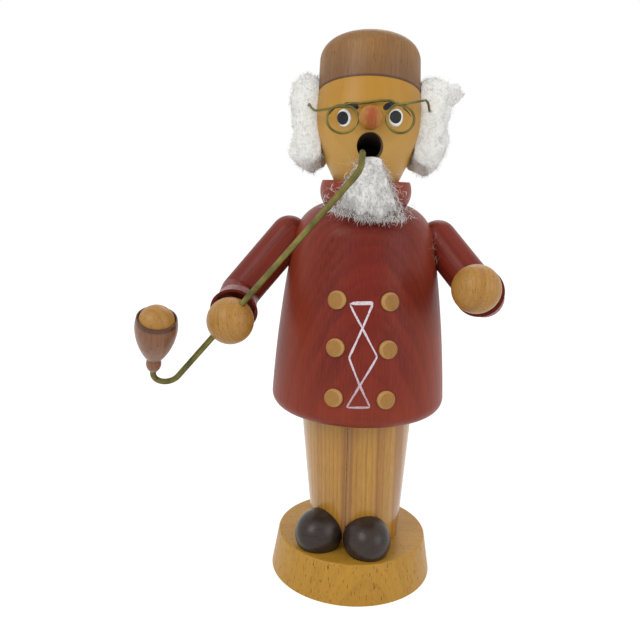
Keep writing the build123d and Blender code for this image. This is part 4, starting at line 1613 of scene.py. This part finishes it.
@dataclass
class Beard:
    """The beard: a fan of white wool under the mouth, dense there and loose at its foot,
    and a few fibres of it caught at the right shoulder. Lengths in mm, in the world's
    frame; the sections are height under the mouth, shift across, distance in front, half
    width and half thickness."""

    mouth_height: float = 159.9
    arch: float = 1.6
    slant: float = 1.1
    grid_size: tuple = (70, 64)
    dense_share: float = 0.8
    top_share: float = 0.08
    foot_share: float = 0.35
    fibre_count: int = 2400
    fibre_length: Pair = (1.2, 4.2)
    stray_count: int = 300
    caught: Triple = (24.2, -12.2, 125.0)
    caught_count: int = 12
    caught_length: Pair = (2.0, 4.5)
    sections: tuple = (
        (-3.4, 0.6, 13.6, 3.7, 1.2),
        (-6.9, 0.3, 15.0, 5.0, 1.9),
        (-11.4, 0.3, 17.4, 6.8, 2.6),
        (-17.4, 0.0, 20.6, 9.5, 2.8),
        (-22.4, -0.3, 24.0, 11.2, 2.2),
        (-25.2, -0.4, 25.6, 12.0, 1.2),
    )

    def at(self, share: np.ndarray, across: np.ndarray, depth: np.ndarray) -> np.ndarray:
        """A place in the fan.

        Args:
            share: how far down it is, 0 at the mouth and 1 at the foot.
            across: from -1 at the left edge to 1 at the right one.
            depth: from -1 in front to 1 at the back.

        Returns:
            The place.
        """
        table = np.array(self.sections)
        steps = np.linspace(0, 1, len(table))
        down, shift, front, width, thick = (np.interp(share, steps, c) for c in table.T)
        x = shift + width * across
        z = self.mouth_height + down + share * (self.arch * across ** 2 - self.slant * across)
        return np.stack([x, thick * depth - front, z], -1)

    def surface(self, rng: np.random.Generator) -> np.ndarray:
        """The dense wool's skin on a grid: the first parameter goes down it, the second
        round an oval section, which closes at the top and thins at the foot as quarter
        circles do, with lumps in front and a foot that is drawn out in tufts.

        Args:
            rng: the random numbers.

        Returns:
            The grid.
        """
        rows, columns = self.grid_size
        share = np.linspace(0, 1, rows)[:, None] * np.ones((1, columns))
        turn = around(columns)[None, :] * np.ones((rows, 1))
        top = np.clip(share / self.top_share, 0, 1)
        foot = np.clip((1 - share) / self.foot_share, 0, 1)
        close = np.sqrt(1 - (1 - top) ** 2)
        thin = close * np.sqrt(1 - (1 - foot) ** 2)
        flat = np.stack([np.cos(turn), 0 * turn, 0 * turn], -1)
        reach = share * (self.dense_share + 0.05 * lumps(flat, 0.16, rng))
        grid = self.at(reach, 0.88 * np.cos(turn) * close, 0.8 * np.sin(turn) * thin)
        lumpy = lumps(grid * np.array([1, 1, 0.4]), 1.6, rng) * 0.3 * (foot > 0)
        grid[..., 1] += np.where(np.sin(turn) < 0, lumpy * thin, 0)
        return grid

    def build(self) -> None:
        """The beard's body, its combed and stray fibres, and those caught at the arm."""
        rng = np.random.default_rng(19)
        wool = COMBED_WOOL.dress("beard_wool")
        body = piece("beard_wool", wool, skin(self.surface(rng) * MM))
        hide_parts("beard")
        combed = self.combed(self.fibre_count, 1.0, 1.0, rng)
        strays = self.combed(self.stray_count, 1.35, 1.9, rng)
        piece("beard_fibres", wool, combed, strays)
        # painted shade: the same wool, browner and darker between the coat and the right arm
        dusty = CREVICE_SHADED_WOOL.dress("stray_wool")
        piece("shoulder_strays", dusty, self.curled(rng))

    def curled(self, rng: np.random.Generator) -> Skin:
        """A few curled fibres caught between the coat and the right arm.

        Args:
            rng: the random numbers.

        Returns:
            The corners and triangles.
        """
        count = self.caught_count
        root = np.array(self.caught) + rng.normal(size=(count, 3)) * (0.5, 0.8, 3.4)
        way = rng.normal(size=root.shape) * (0.35, 0.4, 1) + (-0.1, -0.3, 0)
        lengths = rng.uniform(*self.caught_length, count) * MM
        return fibres(root * MM, way, lengths, np.full(count, 0.05), 0.9, rng)

    def combed(self, count: int, spread: float, stray: float, rng: np.random.Generator) -> Skin:
        """Fibres combed down the fan: each runs from a place in it to one further down the
        same line from the mouth, and ends near the slanted line of the foot.

        Args:
            count: how many there are.
            spread: how far out across the fan they go, as a share of it.
            stray: how far they leave the line, as a share of the usual.
            rng: the random numbers.

        Returns:
            The corners and triangles.
        """
        across = rng.uniform(-1.06, 1.06, count) * spread
        depth = rng.uniform(-1.05, 0.4, count) * np.sqrt(np.clip(1.2 - across ** 2, 0, 1))
        share = 0.02 + 0.9 * rng.uniform(0, 1, count) ** 0.5
        length = rng.uniform(*self.fibre_length, count)
        root = self.at(share, across, depth)
        further = self.at(share + 0.06, across, depth)
        way = unit(further - root) + rng.normal(size=root.shape) * 0.3 * stray
        foot = self.at(np.ones(count), np.clip(across, -1, 1), depth)[:, 2]
        reach = (foot - root[:, 2]) / np.minimum(way[:, 2], -0.3)
        ragged = np.abs(reach) + rng.uniform(-3.4, 1.1, count)
        lengths = np.clip(length, 0.6, np.maximum(ragged, 0.8)) * MM
        radii = 0.03 + 0.14 * rng.uniform(0, 1, count) ** 3
        return fibres(root * MM, way, lengths, radii, 0.4 * stray, rng)


@dataclass(frozen=True)
class Lamp:
    """A soft square lamp. Lengths in metres; share is how bright white looks in its light
    alone."""

    name: str
    place: Triple
    width: float
    share: float

    AIM: ClassVar[Triple] = (0, 0, 0.09)

    def hang(self) -> None:
        """Hangs the lamp so that it faces the object."""
        lamp = bpy.data.objects.new(self.name, bpy.data.lights.new(self.name, "AREA"))
        bpy.context.scene.collection.objects.link(lamp)
        aim = np.array(self.AIM) - np.array(self.place)
        lamp.data.size = self.width
        lamp.data.energy = self.share * np.pi ** 2 * float(aim @ aim)
        lamp.location = self.place
        lamp.rotation_mode = "QUATERNION"
        lamp.rotation_quaternion = Vector(-aim).to_track_quat("Z", "Y")


@dataclass
class Studio:
    """The camera, the lamps, the floor and the world. Places in metres."""

    eye: Triple = (-0.01492, -0.24524, 0.14504)
    lens: float = 37.69
    right: Triple = (0.99950106, 0.00602674, 0.0310049)
    up: Triple = (-0.03158521, 0.19071379, 0.98113741)
    forward: Triple = (0.0, 0.98162718, -0.190809)
    floor_half: float = 3.0
    floor_pale: Colour = (0.82, 0.82, 0.82, 1)
    floor_grey: Colour = (0.42, 0.42, 0.42, 1)
    floor_glow: float = 0.72
    white: Colour = (1, 1, 1, 1)
    daylight: float = 0.72
    lamps: tuple = (
        Lamp("key_lamp", (-0.62, -0.70, 0.80), 0.55, 0.30),
        Lamp("fill_lamp", (0.80, -0.55, 0.45), 0.60, 0.19),
        Lamp("back_lamp", (0.15, 0.75, 0.85), 0.50, 0.14),
    )

    def build(self) -> None:
        """Makes everything that isn't part of the object."""
        self.set_camera()
        self.lay_floor()
        for lamp in self.lamps:
            lamp.hang()
        self.light_world()
        bpy.context.scene.view_settings.view_transform = "Standard"

    def set_camera(self) -> None:
        """The photograph's view."""
        camera = bpy.data.objects.new("camera", bpy.data.cameras.new("camera"))
        bpy.context.scene.collection.objects.link(camera)
        camera.data.lens = self.lens
        camera.data.clip_start = 0.01
        backward = tuple(-c for c in self.forward)
        turned = Matrix((self.right, self.up, backward)).transposed().to_4x4()
        camera.matrix_world = Matrix.Translation(self.eye) @ turned
        bpy.context.scene.camera = camera

    def lay_floor(self) -> None:
        """A pale floor that looks white and keeps the object's shadow: what sees it gets a
        grey that is lit and a glow of its own, and light from it is that of a pale floor."""
        half = self.floor_half
        mesh = bpy.data.meshes.new("floor")
        corners = [(-half, -half, 0), (half, -half, 0), (half, half, 0), (-half, half, 0)]
        mesh.from_pydata(corners, [], [(0, 1, 2, 3)])
        floor = bpy.data.objects.new("floor", mesh)
        bpy.context.scene.collection.objects.link(floor)
        shade = Shade.named("floor_pale")
        plain = shade.node("ShaderNodeBsdfDiffuse", {}, {"Color": self.floor_pale})
        grey = shade.node("ShaderNodeBsdfDiffuse", {}, {"Color": self.floor_grey})
        light = {"Color": self.white, "Strength": self.floor_glow}
        glow = shade.node("ShaderNodeEmission", {}, light)
        lit = shade.node("ShaderNodeAddShader", {}, {0: grey, 1: glow})
        shown = shade.node("ShaderNodeMixShader", {}, {0: shade.seen(), 1: plain, 2: lit})
        shade.end_with(shown)
        floor.data.materials.append(shade.owner)

    def light_world(self) -> None:
        """Even daylight on the object, and white behind it."""
        world = bpy.data.worlds.new("daylight")
        bpy.context.scene.world = world
        shade = Shade(world)
        strength = self.daylight + shade.seen() * (1 - self.daylight)
        sky = {"Color": self.white, "Strength": strength}
        shade.end_with(shade.node("ShaderNodeBackground", {}, sky))


def main() -> None:
    """Builds the object in order."""
    logging.basicConfig(level=logging.INFO, format="%(message)s")
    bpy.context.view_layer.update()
    Studio().build()
    Stand().build()
    Coat().build()
    Arms().build()
    Pipe().build()
    head = Head()
    head.build()
    Hair(head).build()
    Beard().build()


if __name__ == "__main__":
    main()
